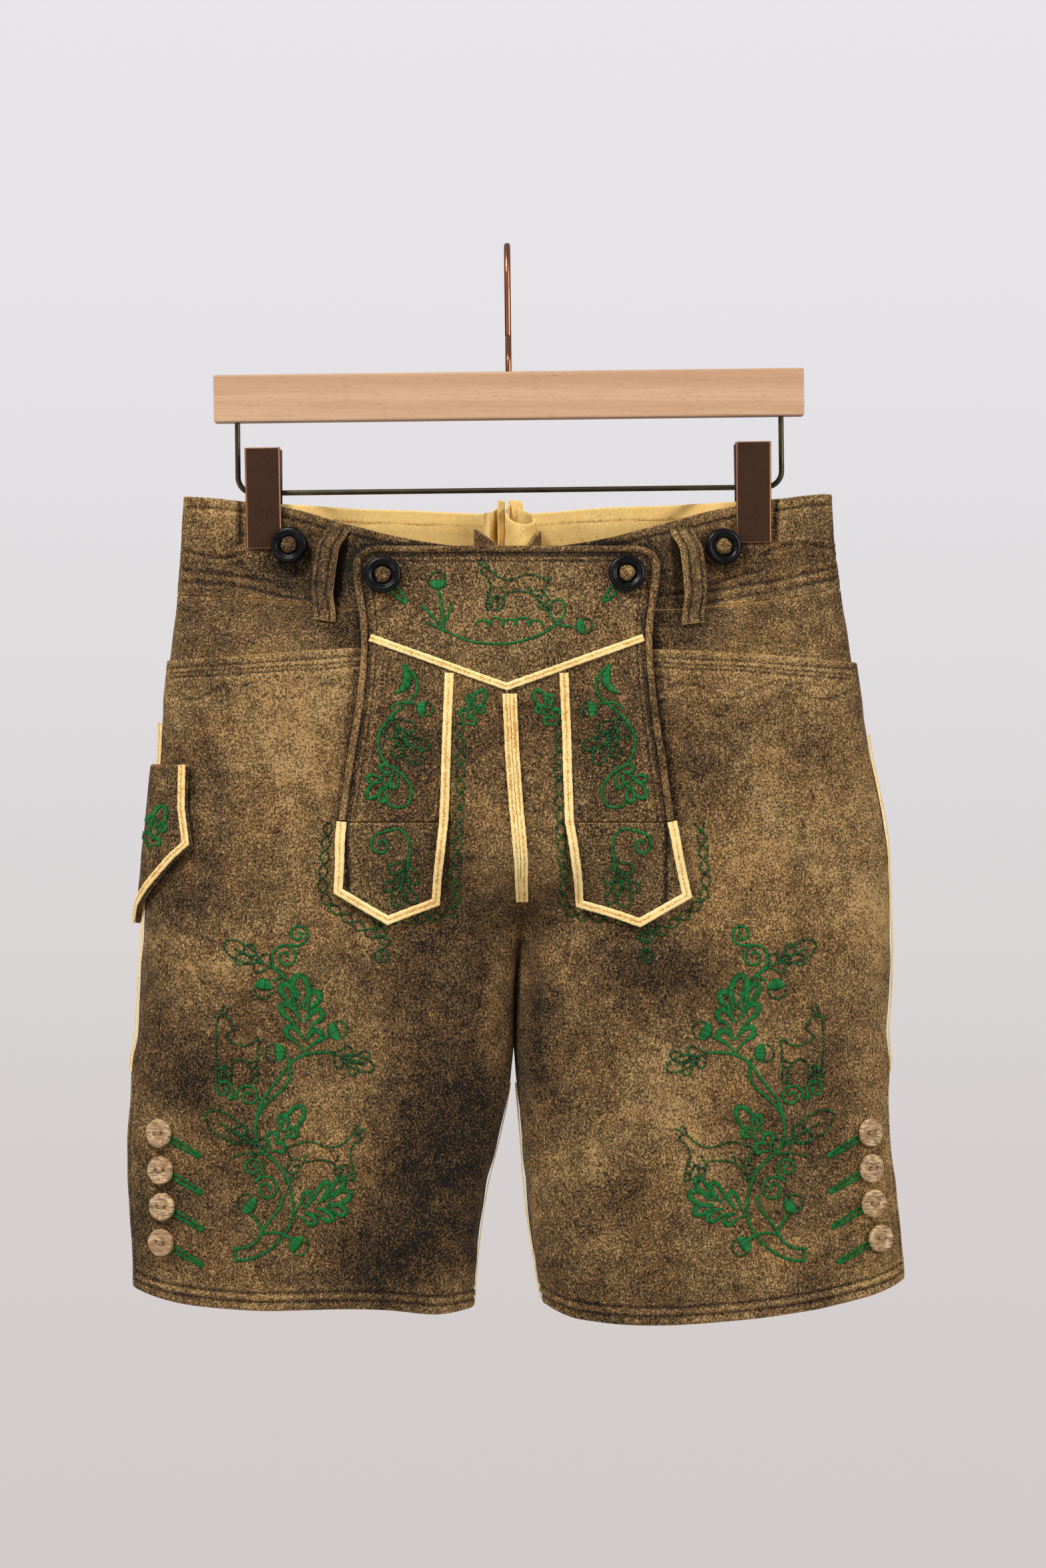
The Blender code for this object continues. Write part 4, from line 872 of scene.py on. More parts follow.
def wear_group():
    """Plating or lacquer: fine scuffs, and a lighter line where an edge is rubbed."""

    def fill(n, given):
        place = given["Place"]
        cloud = n.span(n.noise(place, 60.0, 4.0, 0.6), 0.35, 0.68)
        grain = n.noise(place, 1600.0, 3.0, 0.65)
        colour = n.mix(n.math("MULTIPLY", cloud, 0.75), given["Base"], given["Aged"])
        colour = n.mix(n.span(grain, 0.55, 0.8, 0.0, 0.45), colour, given["Bright"])
        colour = n.mix(n.math("MULTIPLY", n.span(given["Edge"], 0.3, 1.0), 0.85), colour, given["Bright"])
        rough = n.math("ADD", n.span(cloud, 0.0, 1.0, 0.0, 0.12), given["Rough"])
        return colour, grain, rough

    inputs = {"Place": "Vector", "Base": "Color", "Aged": "Color", "Bright": "Color",
              "Edge": "Float", "Rough": "Float"}
    return group("Worn metal", inputs, fill)


MATERIALS = {}


def new_material(name):
    material = MATERIALS[name] = bpy.data.materials.new(name)
    material.use_nodes = True
    return Nodes(material.node_tree)


def finish(n, colour, rough, bump, others=()):
    """Gives a material its colour, roughness, bump (height, strength, depth) and other values."""
    shader = n.tree.nodes["Principled BSDF"].inputs
    n.feed(shader["Base Color"], colour)
    n.feed(shader["Roughness"], rough)
    n.feed(shader["Normal"], n.bump(*bump))
    for key, value in dict(others).items():
        shader[key].default_value = value


def grouped(n, tree, values):
    made = n.add("ShaderNodeGroup", node_tree=tree)
    for key, value in values.items():
        n.feed(made.inputs[key], (*value, 1) if isinstance(value, tuple) else value)
    return made.outputs


def napped(name, light, middle, dark, speckle, clouds, bump=0.6):
    n = new_material(name)
    out = grouped(n, nap_group(), {
        "Place": n.place(), "Light": light, "Middle": middle, "Dark": dark, "Speckle": speckle,
        "Clouds": clouds, "Shade": n.attribute("shade"),
    })
    others = {"Sheen Weight": 0.04, "Sheen Roughness": 0.5, "Specular IOR Level": 0.25}
    finish(n, out["Color"], out["Roughness"], (out["Height"], bump, 0.0009), others)


def metal(name, base, aged, bright, rough, edge=True):
    n = new_material(name)
    out = grouped(n, wear_group(), {
        "Place": n.place(), "Base": base, "Aged": aged, "Bright": bright,
        "Edge": n.attribute("shade") if edge else 0.0, "Rough": rough,
    })
    bump = out["Height"], 0.12, 0.0002
    finish(n, out["Color"], out["Roughness"], bump, {"Metallic": 1.0})


def thread(name, light, dark, rough, sheen=0.0):
    """Twisted thread: each stitch has its own tone, and light runs along its strands."""
    n = new_material(name)
    place = n.place()
    strand = n.math("MULTIPLY", n.attribute("strand"), 0.6)
    tone = n.math("ADD", strand, n.math("MULTIPLY", n.noise(place, 900.0, 2.0), 0.5))
    colour = n.mix(n.span(tone, 0.2, 0.85), dark, light)
    rough = n.span(tone, 0.0, 1.0, rough + 0.1, rough - 0.05)
    bump = n.noise(place, 2600.0, 2.0), 0.35, 0.0002
    finish(n, colour, rough, bump, {"Specular IOR Level": 0.3, "Sheen Weight": sheen})


def horn():
    n = new_material("black_horn")
    place = n.place()
    cloud = n.noise(n.stretch(place, (1.0, 1.0, 3.0)), 90.0, 4.0, 0.6, 0.8)
    colour = n.mix(n.span(cloud, 0.3, 0.75), srgb(4, 4, 5), srgb(13, 13, 15))
    rough = n.span(n.noise(place, 300.0, 2.0), 0.3, 0.7, 0.26, 0.42)
    bump = n.noise(place, 700.0, 2.0), 0.05, 0.0002
    finish(n, colour, rough, bump, {"Specular IOR Level": 0.22})


def antler():
    """Sawn antler: a pale ground with grey-brown streaks along the horn. A darker rim colour is mixed in by
    a shade attribute, which the buttons don't carry, so no dark rim shows.
    """
    n = new_material("antler")
    place = n.place()
    streak = n.noise(n.stretch(place, (1.0, 0.6, 5.2), (0.0, 0.5, 0.0)), 130.0, 4.0, 0.62, 1.6)
    stain = n.noise(place, 75.0, 3.0, 0.55, 1.2)
    colour = n.mix(n.span(streak, 0.38, 0.6), srgb(110, 76, 46), srgb(222, 188, 140))
    colour = n.mix(n.span(stain, 0.46, 0.64, 0.0, 0.7), colour, srgb(150, 108, 66))
    colour = n.mix(n.math("MULTIPLY", n.attribute("shade"), 0.7), colour, srgb(70, 46, 28))
    finish(n, colour, n.span(streak, 0.2, 0.8, 0.36, 0.55), (streak, 0.25, 0.0004))


def beech():
    """Steamed beech: fine straight grain with short dark flecks."""
    n = new_material("beech")
    place = n.place()
    grain = n.noise(n.stretch(place, (0.035, 1.0, 1.0)), 620.0, 4.0, 0.6)
    bands = n.noise(n.stretch(place, (0.02, 0.6, 1.0)), 70.0, 3.0, 0.5, 0.4)
    fleck = n.noise(n.stretch(place, (0.22, 1.0, 1.9)), 820.0, 1.0, 0.5)
    colour = n.mix(n.span(bands, 0.3, 0.7), srgb(186, 143, 108), srgb(204, 165, 130))
    colour = n.mix(n.span(grain, 0.4, 0.72, 0.0, 0.4), colour, srgb(172, 127, 92))
    colour = n.mix(n.span(fleck, 0.64, 0.74, 0.0, 0.5), colour, srgb(148, 102, 72))
    finish(n, colour, n.span(grain, 0.3, 0.8, 0.42, 0.56), (grain, 0.18, 0.0002))


def floor_paint():
    n = new_material("floor")
    place = n.place()
    patch = n.span(n.noise(place, 1.6, 3.0, 0.5), 0.3, 0.7)
    colour = n.mix(patch, (0.72, 0.71, 0.735), (0.77, 0.76, 0.775))
    finish(n, colour, 0.9, (n.noise(place, 45.0, 3.0), 0.08, 0.002))


def make_materials(look):
    def scaled(colour, share):
        return tuple(c * share for c in colour)

    tan, middle, dark = tuple(look.leg_light), tuple(look.leg_middle), tuple(look.leg_dark)
    napped("buckskin", tan, middle, dark, 2.9, 0.95)
    napped("flap_buckskin", scaled(tan, 0.88), scaled(middle, 0.8), scaled(dark, 0.85), 3.2, 0.45)
    napped("flesh_side", srgb(248, 220, 150), srgb(234, 200, 124), srgb(166, 124, 68), 1.2, 0.6, 0.5)
    napped("trim_suede", srgb(255, 244, 190), srgb(252, 224, 154), srgb(196, 144, 78), 1.6, 0.4, 0.5)
    thread("green_silk", scaled(look.silk, 0.9), scaled(look.silk, 0.25), 0.45)
    # A darker copy of the silk for the running stitches: painted shade, for the dimples that they sink
    # into.
    thread("painted_shade_silk", scaled(look.silk, 0.5), scaled(look.silk, 0.05), 0.5)
    thread("seam_thread", srgb(58, 43, 28), srgb(24, 17, 11), 0.7)
    thread("yellow_thread", srgb(214, 170, 98), srgb(150, 108, 56), 0.6, 0.1)
    thread("cream_thread", srgb(214, 188, 148), srgb(160, 130, 92), 0.6)
    metal("copper_plate", srgb(104, 76, 60), srgb(72, 50, 38), srgb(200, 146, 116), 0.42)
    metal("bright_copper", srgb(176, 116, 88), srgb(122, 76, 56), srgb(222, 168, 138), 0.3, edge=False)
    metal("bronze_wire", srgb(92, 84, 66), srgb(52, 46, 34), srgb(150, 140, 116), 0.34, edge=False)
    horn()
    antler()
    beech()
    floor_paint()


def ride(obj, slot, *nodes):
    """Every piece hangs on the one body and takes the place of its CAD nodes."""
    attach(obj, "root")
    if nodes:
        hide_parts(*nodes)
    return obj


# ==== the leg panels

HEM_ROWS, POCKET_ROWS, EDGE_ROW = (6.0, 12.0), (5.5, 9.0, 12.0), 5.5
KNOTS_AT = -240.0  # the height at which columns of neighbouring pieces are matched
SKINS = {}
LEATHERS = {  # materials of the skin, the inside and the cut edge, and the slot
    "leg": ("buckskin", "flesh_side", "buckskin", "leg_leather"),
    "band": ("buckskin", "flesh_side", "flesh_side", "leg_leather"),
    "flap": ("flap_buckskin", "flesh_side", "flap_buckskin", "dark_leather"),
}


def of(*names):
    return [MATERIALS[name] for name in names]


def panel(name, leather, skin, u, z, sheet, **settings):
    """A panel of leather. sheet is its flat size, how it is held, what it rests on and its area; it is not
    used.
    """
    *materials, slot = LEATHERS[leather]
    SKINS[name] = skin
    obj = leather_shell(name, skin, u, z, of(*materials), **settings)
    return ride(obj, slot, name)


def border(name, shift=0.0, match_at=KNOTS_AT):
    """A named edge moved up by shift, and the height at which columns are matched to it."""
    return (lambda x: edge(name, x) + shift), match_at


def arcs_along(side, line):
    """A line of (arc, z) from a line seen from the front."""
    x, z = np.asarray(line, float).T
    return np.stack([FORM[side].arc_at(x, z), z], axis=1)


def seam_arc(side, z):
    return FORM[side].value("seam", z) + SEAM / 2


def tones_at(rows, x, z):
    total = np.zeros_like(x)
    for cx, cz, wide, high, tone in rows:
        total = total + tone * np.exp(-(((x - cx) / wide) ** 2) - ((z - cz) / high) ** 2)
    return total


def span(side, columns, rows, start, end, low, high):
    """A grid of (arc, z) whose columns run from start to end and whose rows run low to high.

    start and end give arcs at heights. low and high are an edge as a function of x, with
    the height at which columns are matched to it.
    """
    lines = []
    for curve, match_at in (low, high):
        at = np.full(len(columns.share), float(match_at))
        lines.append(curve(FORM[side].point(columns.at(start(at), end(at)), at)[:, 0]))
    z = rows.at(lines[0][:, None], lines[1][:, None]).T
    return columns.at(start(z), end(z)), z


def leg_seams(side):
    """Stitched rows on a leg's front: hem, vent, pocket, and the wave below the pocket."""
    form, sign = FORM[side], SIGN[side]
    start, end = seam_arc(side, -700), form.lengths(-700)[0]
    arcs = np.linspace(start + EDGE_ROW, end - 1, 60)
    hem = edge("hem_" + side, form.point(arcs, -700.0)[:, 0])
    seams = [Seam(np.stack([arcs, hem + row], axis=1)) for row in HEM_ROWS]
    heights = np.linspace(VENT, hem[0] + HEM_ROWS[0], 24)
    seams.append(Seam(np.stack([seam_arc(side, heights) + EDGE_ROW, heights], axis=1)))
    out = abs(form.point(start, -280.0)[0])
    xs = sign * np.linspace(out - 3, through(FLAP_EDGE, -280) - 4, 50)
    for row in POCKET_ROWS:
        line = np.stack([xs, edge("pocket", xs) - row], axis=1)
        seams.append(Seam(arcs_along(side, line), groove=0.7, puff=0.5))
    wave = np.stack([xs, -301 + 5.5 * np.cos((np.abs(xs) - 118) / 31 * math.pi)], axis=1)
    seams.append(Seam(arcs_along(side, wave), groove=0.4, puff=0.15, soften=1.6))
    return seams


# Creases: x0, z0, x1, z1, half width, height, tone. The tone follows the height: lighter ridges, partly
# rubbed nap and partly painted light, and darker troughs as painted shade.
FRONT_CREASES = [
    (-214, -418, -176, -436, 4.0, 0.9, 0.35), (-205, -430, -160, -447, 3.6, -0.6, -0.25),
    (-196, -452, -170, -466, 4.0, 0.7, 0.35), (-180, -446, -150, -452, 4.4, 0.6, 0.3),
    (-225, -372, -198, -388, 4.4, 0.7, 0.2), (212, -300, 196, -330, 5.0, 0.6, 0.1),
    (232, -410, 205, -432, 4.6, 0.8, 0.25), (236, -445, 214, -458, 4.0, 0.7, 0.25),
    (196, -452, 160, -470, 5.0, 0.6, 0.25), (30, -470, 46, -520, 5.0, 1.1, 0.35),
    (16, -480, 22, -560, 4.6, -0.9, -0.5), (-14, -470, -24, -540, 5.0, -0.9, -0.5),
    (-36, -480, -52, -524, 5.4, 0.9, 0.3), (-60, -600, -44, -650, 7.0, 0.8, 0.25),
    (58, -610, 70, -680, 7.0, 0.8, 0.25), (-200, -300, -188, -352, 6.0, 0.7, 0.1),
]
# Lighter and darker patches: x, z, half width, half height, tone. Painted light down the outer side of leg
# l, which faces the side lamp; inner thighs darker, partly painted shade where they turn away and partly
# darker leather; elsewhere nap rubbed pale in places and handled dark in others.
FRONT_TONES = [
    (-170, -480, 50, 36, 0.2), (180, -395, 60, 55, 0.6), (-165, -345, 45, 35, 0.35),
    (-100, -520, 22, 40, 0.4), (110, -590, 45, 60, 0.35), (190, -560, 40, 60, 0.3),
    (-52, -585, 30, 90, -1.25), (-15, -600, 20, 60, -0.7), (28, -520, 22, 50, -0.5),
    (95, -480, 46, 26, -0.7), (-80, -480, 56, 22, -0.7), (-205, -560, 22, 26, -0.35),
    (-70, -680, 56, 36, -1.1), (250, -520, 22, 170, 0.9), (-246, -640, 14, 60, -0.3),
    (150, -705, 130, 14, -0.25), (-200, -425, 34, 24, -0.35), (0, -400, 32, 60, 0.1),
    (60, -640, 30, 40, -0.3), (190, -640, 50, 30, -0.15),
]


def inside_flap(x, z):
    """How far a place lies inside the outline of the drop front. It is negative outside."""
    side, top = through(FLAP_EDGE, z) - np.abs(x), FLAP_TOP - z
    corner = FLAP_CORNER - np.hypot(np.maximum(FLAP_CORNER - side, 0), np.maximum(FLAP_CORNER - top, 0))
    return np.minimum(np.minimum(side, top), corner)


def creased(side, creases, tones):
    """What a table of creases and a table of tones add to a skin in (arc, z)."""

    def extra(arc, z):
        x = FORM[side].point(arc, z)[..., 0]
        height = folds_at([row[:6] for row in creases], x, z)
        # Painted light and shade along the creases: lighter on ridges, darker in troughs.
        shade = folds_at([(*row[:5], row[6]) for row in creases], x, z)
        # Painted shadow: the leather is darker just outside the flap's edge, which stands proud and shades
        # it.
        away = inside_flap(x, z)
        rubbed = np.exp(-((np.minimum(away, 0) / 4.2) ** 2)) * smooth(9, 3, away) * (arc > 0)
        return height, shade + tones_at(tones, x, z) - 1.2 * rubbed * smooth(-396, -386, z)

    return extra


def leg_front(side):
    """From the hem up to the pocket's edge outside the flap, and to the yoke within it."""
    form, sign = FORM[side], SIGN[side]

    def begin(z):
        return seam_arc(side, z)

    def slit(z):
        return form.arc_at(sign * (through(FLAP_EDGE, z) - SLIT_IN), z)

    def strip(z):
        return form.arc_at(sign * (through(STRIP_IN, z) - SEAM / 2 * (z > FLAP_END)), z)

    def centre(z):
        return form.lengths(z)[0] - SEAM

    def rise(arc, z):
        x = form.point(arc, z)[..., 0]
        outside = leg_rise(arc - seam_arc(side, z), z)
        lower = np.maximum(flap_lift(x, z), outside)
        inside = np.abs(x) < through(STRIP_IN, z) + 1
        settled = FLAP_RISE - (FLAP_RISE - lower) * smooth(FLAP_END + 14, FLAP_END, z)
        return np.where(z <= FLAP_END, lower, np.where(inside, settled, outside))

    hem, notch = border("hem_" + side, 0, -700), ((lambda x: 0 * x + FLAP_END), FLAP_END)
    in_slit, under_yoke = ((lambda x: 0 * x - 300), -300), ((lambda x: yoke_edge(x) - SEAM), -290)
    tops = border("pocket", 0, -280), in_slit, under_yoke
    low_rows, high_rows = Ruler(116, near=HEM_ROWS), Ruler(38, far=POCKET_ROWS)
    outer = Ruler(50, near=(EDGE_ROW,)), begin, slit
    blocks = outer, (Ruler(22), slit, strip), (Ruler(24), strip, centre)
    us, zs = [], []
    for (columns, a, b), top, keep in zip(blocks, tops, (slice(None), slice(1, -1), slice(None))):
        low_u, low_z = span(side, columns, low_rows, a, b, hem, notch)
        high_u, high_z = span(side, columns, high_rows, a, b, notch, top)
        us.append(np.concatenate([low_u, high_u[1:]])[:, keep])
        zs.append(np.concatenate([low_z, high_z[1:]])[:, keep])
    u, z = np.concatenate(us, axis=1), np.concatenate(zs, axis=1)
    notch_row, first = len(low_rows.share) - 1, us[0].shape[1] - 1
    present = np.ones((u.shape[0] - 1, u.shape[1] - 1), bool)
    present[notch_row:, first : first + us[1].shape[1] + 1] = False
    skin = Skin(form.place, rise, leg_seams(side), extra=creased(side, FRONT_CREASES, FRONT_TONES))
    free = np.minimum(np.abs(u - u[:, :1]), np.abs(z - z[:1]))
    row = np.arange(len(z))[:, None]
    free = np.where(row > notch_row, np.minimum(free, z[-1:] - z), free)
    sheet = (0.31, 0.45), "hung", [f"waistband_front_{side}"], 0.112
    return panel(f"leg_front_{side}", "leg", skin, u, z, sheet, present=present, free=free)


# Lighter and darker patches on the back, as on the front: painted shade at the crotch where the legs meet
# and down the sides that turn away, darker along the hem, lighter on the seat and thighs.
BACK_TONES = [
    (-130, -330, 60, 60, 0.4), (130, -340, 60, 60, 0.4), (-120, -430, 60, 40, 0.5),
    (130, -430, 60, 40, 0.5), (0, -500, 40, 90, -0.8), (-240, -500, 30, 160, -0.5),
    (250, -500, 30, 160, -0.5), (-120, -600, 60, 60, 0.25), (130, -600, 60, 60, 0.25),
    (-120, -700, 130, 20, -0.4), (130, -700, 130, 20, -0.4),
]
# Creases on the back, as on the front: lighter ridges, partly rubbed nap and partly painted light, and
# troughs darkened as painted shade.
BACK_CREASES = [
    (-190, -300, -150, -330, 7, 0.8, 0.2), (-60, -460, -150, -450, 6, 0.9, 0.3),
    (-40, -480, -110, -490, 6, -0.8, -0.3), (60, -460, 150, -452, 6, 0.9, 0.3),
    (40, -480, 120, -492, 6, -0.8, -0.3), (-150, -560, -120, -640, 9, 0.8, 0.2),
    (150, -570, 130, -650, 9, 0.8, 0.2),
]


def leg_back(side):
    """From the hem up to the waistband, and from the side seam to the centre back."""
    form = FORM[side]

    def begin(z):
        lap = -SEAM / 2 + (VENT_LAP + SEAM / 2) * smooth(-556, -578, z)
        return form.value("seam", z) + lap

    def centre(z):
        return -form.lengths(z)[1] + SEAM

    hem, top = border("hem_" + side, 0, -700), border("band_back", -SEAM)
    u, z = span(side, Ruler(76), Ruler(120, near=HEM_ROWS), begin, centre, hem, top)
    arcs = np.linspace(-8, -form.lengths(-700)[1] + 1, 60)
    foot = edge("hem_" + side, form.point(arcs, -700.0)[:, 0])
    seams = [Seam(np.stack([arcs, foot + row], axis=1)) for row in HEM_ROWS]
    heights = np.linspace(-250, -470, 40)
    for row in (3.0, 6.0):
        seams.append(Seam(np.stack([-form.lengths(heights)[1] + row, heights], axis=1), soften=1.3))
    skin = Skin(form.place, level(), seams, extra=creased(side, BACK_CREASES, BACK_TONES))
    free = np.minimum(np.abs(z - z[:1]), np.abs(u - u[:, -1:]))
    sheet = (0.32, 0.49), "hung", [f"waistband_back_{side}"], 0.133
    return panel(f"leg_back_{side}", "leg", skin, u, z, sheet, free=free)


# ==== the waist

WAIST_LINES = {  # stitched lines on the front of the waistband, seen from the front
    "r": [[(-221, -204.5), (-205, -208), (-193, -210), (-178, -206.6)],
          [(-221, -217.6), (-184, -221.8), (-157, -226)],
          [(-221, -225.9), (-180, -229.3), (-156, -235.2), (-132, -238.6)]],
    "l": [[(172, -208), (182.6, -203.2), (199, -200.1), (222, -203.8)],
          [(84, -224), (108, -220.5)], [(137, -228), (156, -222), (172, -218.5)],
          [(84, -240), (108, -236), (133, -232.8), (180, -225), (223, -216.3)],
          [(133, -240.8), (180, -232.6), (223, -223.8)]],
}
# Creases at the clips and the sides, as on the front: the troughs where the clips pinch the band are
# darkened as painted shade.
WAIST_CREASES = [
    (-180.4, -170, -181.2, -200, 1.7, -1.4, -1.6), (-185, -172, -186, -196, 2.6, 0.6, 0.2),
    (182.8, -171, 181.6, -197, 1.7, -1.3, -1.5), (188, -172, 187, -192, 2.6, 0.6, 0.2),
    (-215, -181, -190, -184, 3.0, 0.4, 0.2), (204, -184, 192, -190, 3.0, 0.4, 0.1),
]
# Patches on the waistband and hip facings, as on the front: painted shadows round and under the waist
# buttons and beside the belt loops, painted shade on the hip facings under the waistband, darker across the
# middle, lighter near the sides.
WAIST_TONES = [
    (-152, -222, 26, 18, -0.9), (-120, -226, 26, 30, -0.6), (120, -220, 26, 30, -0.7),
    (150, -205, 24, 16, -0.5), (-205, -190, 20, 16, 0.3), (205, -190, 20, 16, 0.15),
    (0, -215, 90, 30, -0.5), (-165, -262, 26, 16, -0.5), (-105, -262, 22, 24, -0.9),
    (110, -262, 24, 24, -0.9), (175, -262, 34, 16, -0.3),
]


def to_front_edge(side):
    """Where a panel begins at the side seam, and where it ends at the centre front."""
    return (lambda z: seam_arc(side, z)), (lambda z: FORM[side].lengths(z)[0] - SEAM / 2)


def top_and_foot(z):
    return np.minimum(np.abs(z - z[:1]), np.abs(z - z[-1:]))


def waistband_front(side):
    low, high = border("band_front", SEAM / 2), border("waist_front")
    rows = Ruler(42, near=(2.4,), far=(6.4,))
    u, z = span(side, Ruler(140), rows, *to_front_edge(side), low, high)
    xs = SIGN[side] * np.linspace(216, 3, 60)
    seams = [Seam(arcs_along(side, np.stack([xs, edge("waist_front", xs) - 6.4], axis=1)), 0.6)]
    for line in WAIST_LINES[side]:
        seams.append(Seam(arcs_along(side, catmull(line, 8)), groove=0.75, puff=0.55))
    skin = Skin(FORM[side].place, level(), seams, extra=creased(side, WAIST_CREASES, WAIST_TONES))
    sheet = (0.245, 0.07), "hung", [f"clip_front_{side}"], 0.0138
    return panel(f"waistband_front_{side}", "band", skin, u, z, sheet, free=top_and_foot(z), roll=0.8)


def hip_facing(side):
    """Shows between waistband and pocket, and runs a little way down behind the pocket."""
    low, high = border("pocket", -OVERLAP), border("band_front", -SEAM / 2)
    u, z = span(side, Ruler(110), Ruler(24), *to_front_edge(side), low, high)
    skin = Skin(FORM[side].place, level(), extra=creased(side, WAIST_CREASES, WAIST_TONES))
    sheet = (0.245, 0.06), "hung", [f"waistband_front_{side}"], 0.0124
    return panel(f"hip_facing_{side}", "band", skin, u, z, sheet, free=np.abs(z - z[-1:]), roll=0.7)


NOTCH_HALF, NOTCH_END = 13.0, -232.0


def waistband_back(side):
    """Ends at the centre back in a notch, narrower downwards."""
    form = FORM[side]

    def centre(z):
        notch = NOTCH_HALF * np.clip((z - NOTCH_END) / (-177 - NOTCH_END), 0, 1)
        return -form.lengths(z)[1] + SEAM / 2 + notch

    def begin(z):
        return form.value("seam", z) - SEAM / 2

    low, high = border("band_back", SEAM / 2), border("waist_back")
    u, z = span(side, Ruler(110), Ruler(40, near=(3.0,), far=(9.0,)), begin, centre, low, high)
    xs = SIGN[side] * np.linspace(210, 15, 60)
    seams = []
    for heights in (edge("waist_back", xs) - 9.0, edge("band_back", xs) + 3.0):
        seams.append(Seam(np.stack([form.arc_at(xs, heights, back=True), heights], axis=1), 0.5))
    skin = Skin(form.place, level(), seams, uneven=1.3)
    SKINS[f"waist_lining_{side}"] = Skin(form.place, level(-LEATHER), uneven=1.3)
    free = np.minimum(top_and_foot(z), np.abs(u - u[:, -1:]))
    sheet = (0.235, 0.072), "hung", [f"clip_back_{side}"], 0.0148
    return panel(f"waistband_back_{side}", "band", skin, u, z, sheet, free=free, roll=0.8)


# Belt loops: side, x and z of the top, x and z of the foot, width.
FRONT_LOOPS = [("r", -112.5, -191, -121.5, -254, 15.0), ("l", 116.5, -191, 124.5, -256, 15.5)]
LOOP_PROUD, LOOP_THICK = 9.5, 2.0


def ribbon(name, line, width, low, high, place, materials, grooves=(0.0,), crown=0.35, ragged=0.2,
           cells=10, step=1.5, edge_radius=0.5):
    """A strip of leather along a line, between two rises, with stitched grooves down it."""
    line = densify(line, step)
    run = run_along(line)
    low, high = (np.broadcast_to(v(line) if callable(v) else v, len(line)) for v in (low, high))
    share = np.linspace(-1, 1, cells + 1)
    share = np.sign(share) * np.abs(share) ** 0.75
    outer, inner, tone = [], [], []
    for k, s in enumerate(share):
        wander = sum(np.sin(run * a + b + (k > cells / 2) * 2.1) * c for a, b, c in RAGGED)
        across = offset_line(line, s * width / 2 + ragged * wander * s**2 * np.sign(s))
        rise = high - crown * s * s - rounding((1 - abs(s)) * width / 2, edge_radius)
        dip = sum(np.exp(-(((s - g) * width / 2 / 0.75) ** 2)) for g in grooves)
        rise = rise - 0.4 * dip + 0.06 * np.sin(run * 1.7 + k) + 0.05 * np.sin(run * 3.1 + 2 * k)
        outer.append(place(*across.T, rise))
        inner.append(place(*across.T, low))
        # Painted shade in the stitched grooves, and the edges a little lighter where rubbed.
        tone.append(0 * run - 1.1 * dip + 0.3 * abs(s) ** 6)
    uv = np.stack(np.broadcast_arrays(run[None], share[:, None] * width / 2), axis=-1)
    return shell(name, np.array(outer), np.array(inner), materials, shade=np.array(tone), uv=uv)


RAGGED = [(0.9, 1.0, 0.5), (2.3, 2.0, 0.35), (4.3, 0.3, 0.3)]  # waves of a raw cut edge


def belt_loop(side, x_top, z_top, x_low, z_low, width):
    top, low = np.array([x_top, z_top]), np.array([x_low, z_low])

    def inside(line):
        t = np.clip((line[:, 1] - z_top) / (z_low - z_top), 0, 1)
        return 1.0 + (LOOP_PROUD - LOOP_THICK) * smooth(0, 0.24, t) * smooth(1, 0.72, t)

    name = f"belt_loop_front_{side}"
    obj = ribbon(
        name, [top, low], width, inside, lambda line: inside(line) + LOOP_THICK, on_front,
        of("buckskin", "flesh_side", "flesh_side"), grooves=(-0.5, 0.5), crown=0.25, ragged=0.1,
        cells=26, step=1.2, edge_radius=1.5,
    )
    skin = Skin(on_front, lambda x, z: inside(np.stack([x, z], axis=1)) + LOOP_THICK - 0.3, uneven=0)
    direction = unit(low - top)
    normal = np.array([-direction[1], direction[0]])
    for s in (-0.5, 0.5):
        shift = normal * s * width / 2
        SEAMS.append((skin, np.array([top + direction * 3 + shift, low - direction * 3 + shift])))
    return ride(obj, "leg_leather", name)


SEAMS = []  # rows that lie on no panel's own list: (skin, line)

# ==== the drop front


def flap_row(inset):
    """A line inside the flap's edge, from the foot of one slit round to the other."""
    half, radius = FLAP_EDGE[0][1] - FLAP_CORNER, FLAP_CORNER - inset
    corner = FLAP_TOP - FLAP_CORNER
    left = [(-(through(FLAP_EDGE, z) - inset), z) for z in np.linspace(-387, corner - 2, 40)]
    left += arc_points((-half, corner), radius, 178, 90, 12)
    return np.array(left + [(-x, z) for x, z in reversed(left)])


FLAP_ROWS = (7.3, 10.4)
# Darker patches by the two ring buttons and down the strips, lighter ones across the yoke: x, z, half
# width, half height, tone.
FLAP_TONES = [(-70, -225, 26, 18, -0.5), (80, -222, 24, 18, -0.4), (0, -235, 45, 22, 0.35),
              (-68, -345, 26, 70, -0.5), (68, -345, 26, 70, -0.5), (0, -262, 70, 26, 0.3)]


def flap_skin(rise, rows=FLAP_ROWS):
    seams = [Seam(flap_row(row), groove=0.6, puff=0.3) for row in rows]
    return Skin(on_front, rise, seams, uneven=0.7, extra=flap_extra)


def flap_extra(x, z):
    # Painted shade: a dark line in the groove just inside the rolled binding, which stands proud of the
    # flap.
    past_binding = inside_flap(x, z) - BINDING
    return 0.0 * x, tones_at(FLAP_TONES, x, z) - 1.6 * np.exp(-((past_binding / 1.5) ** 2))


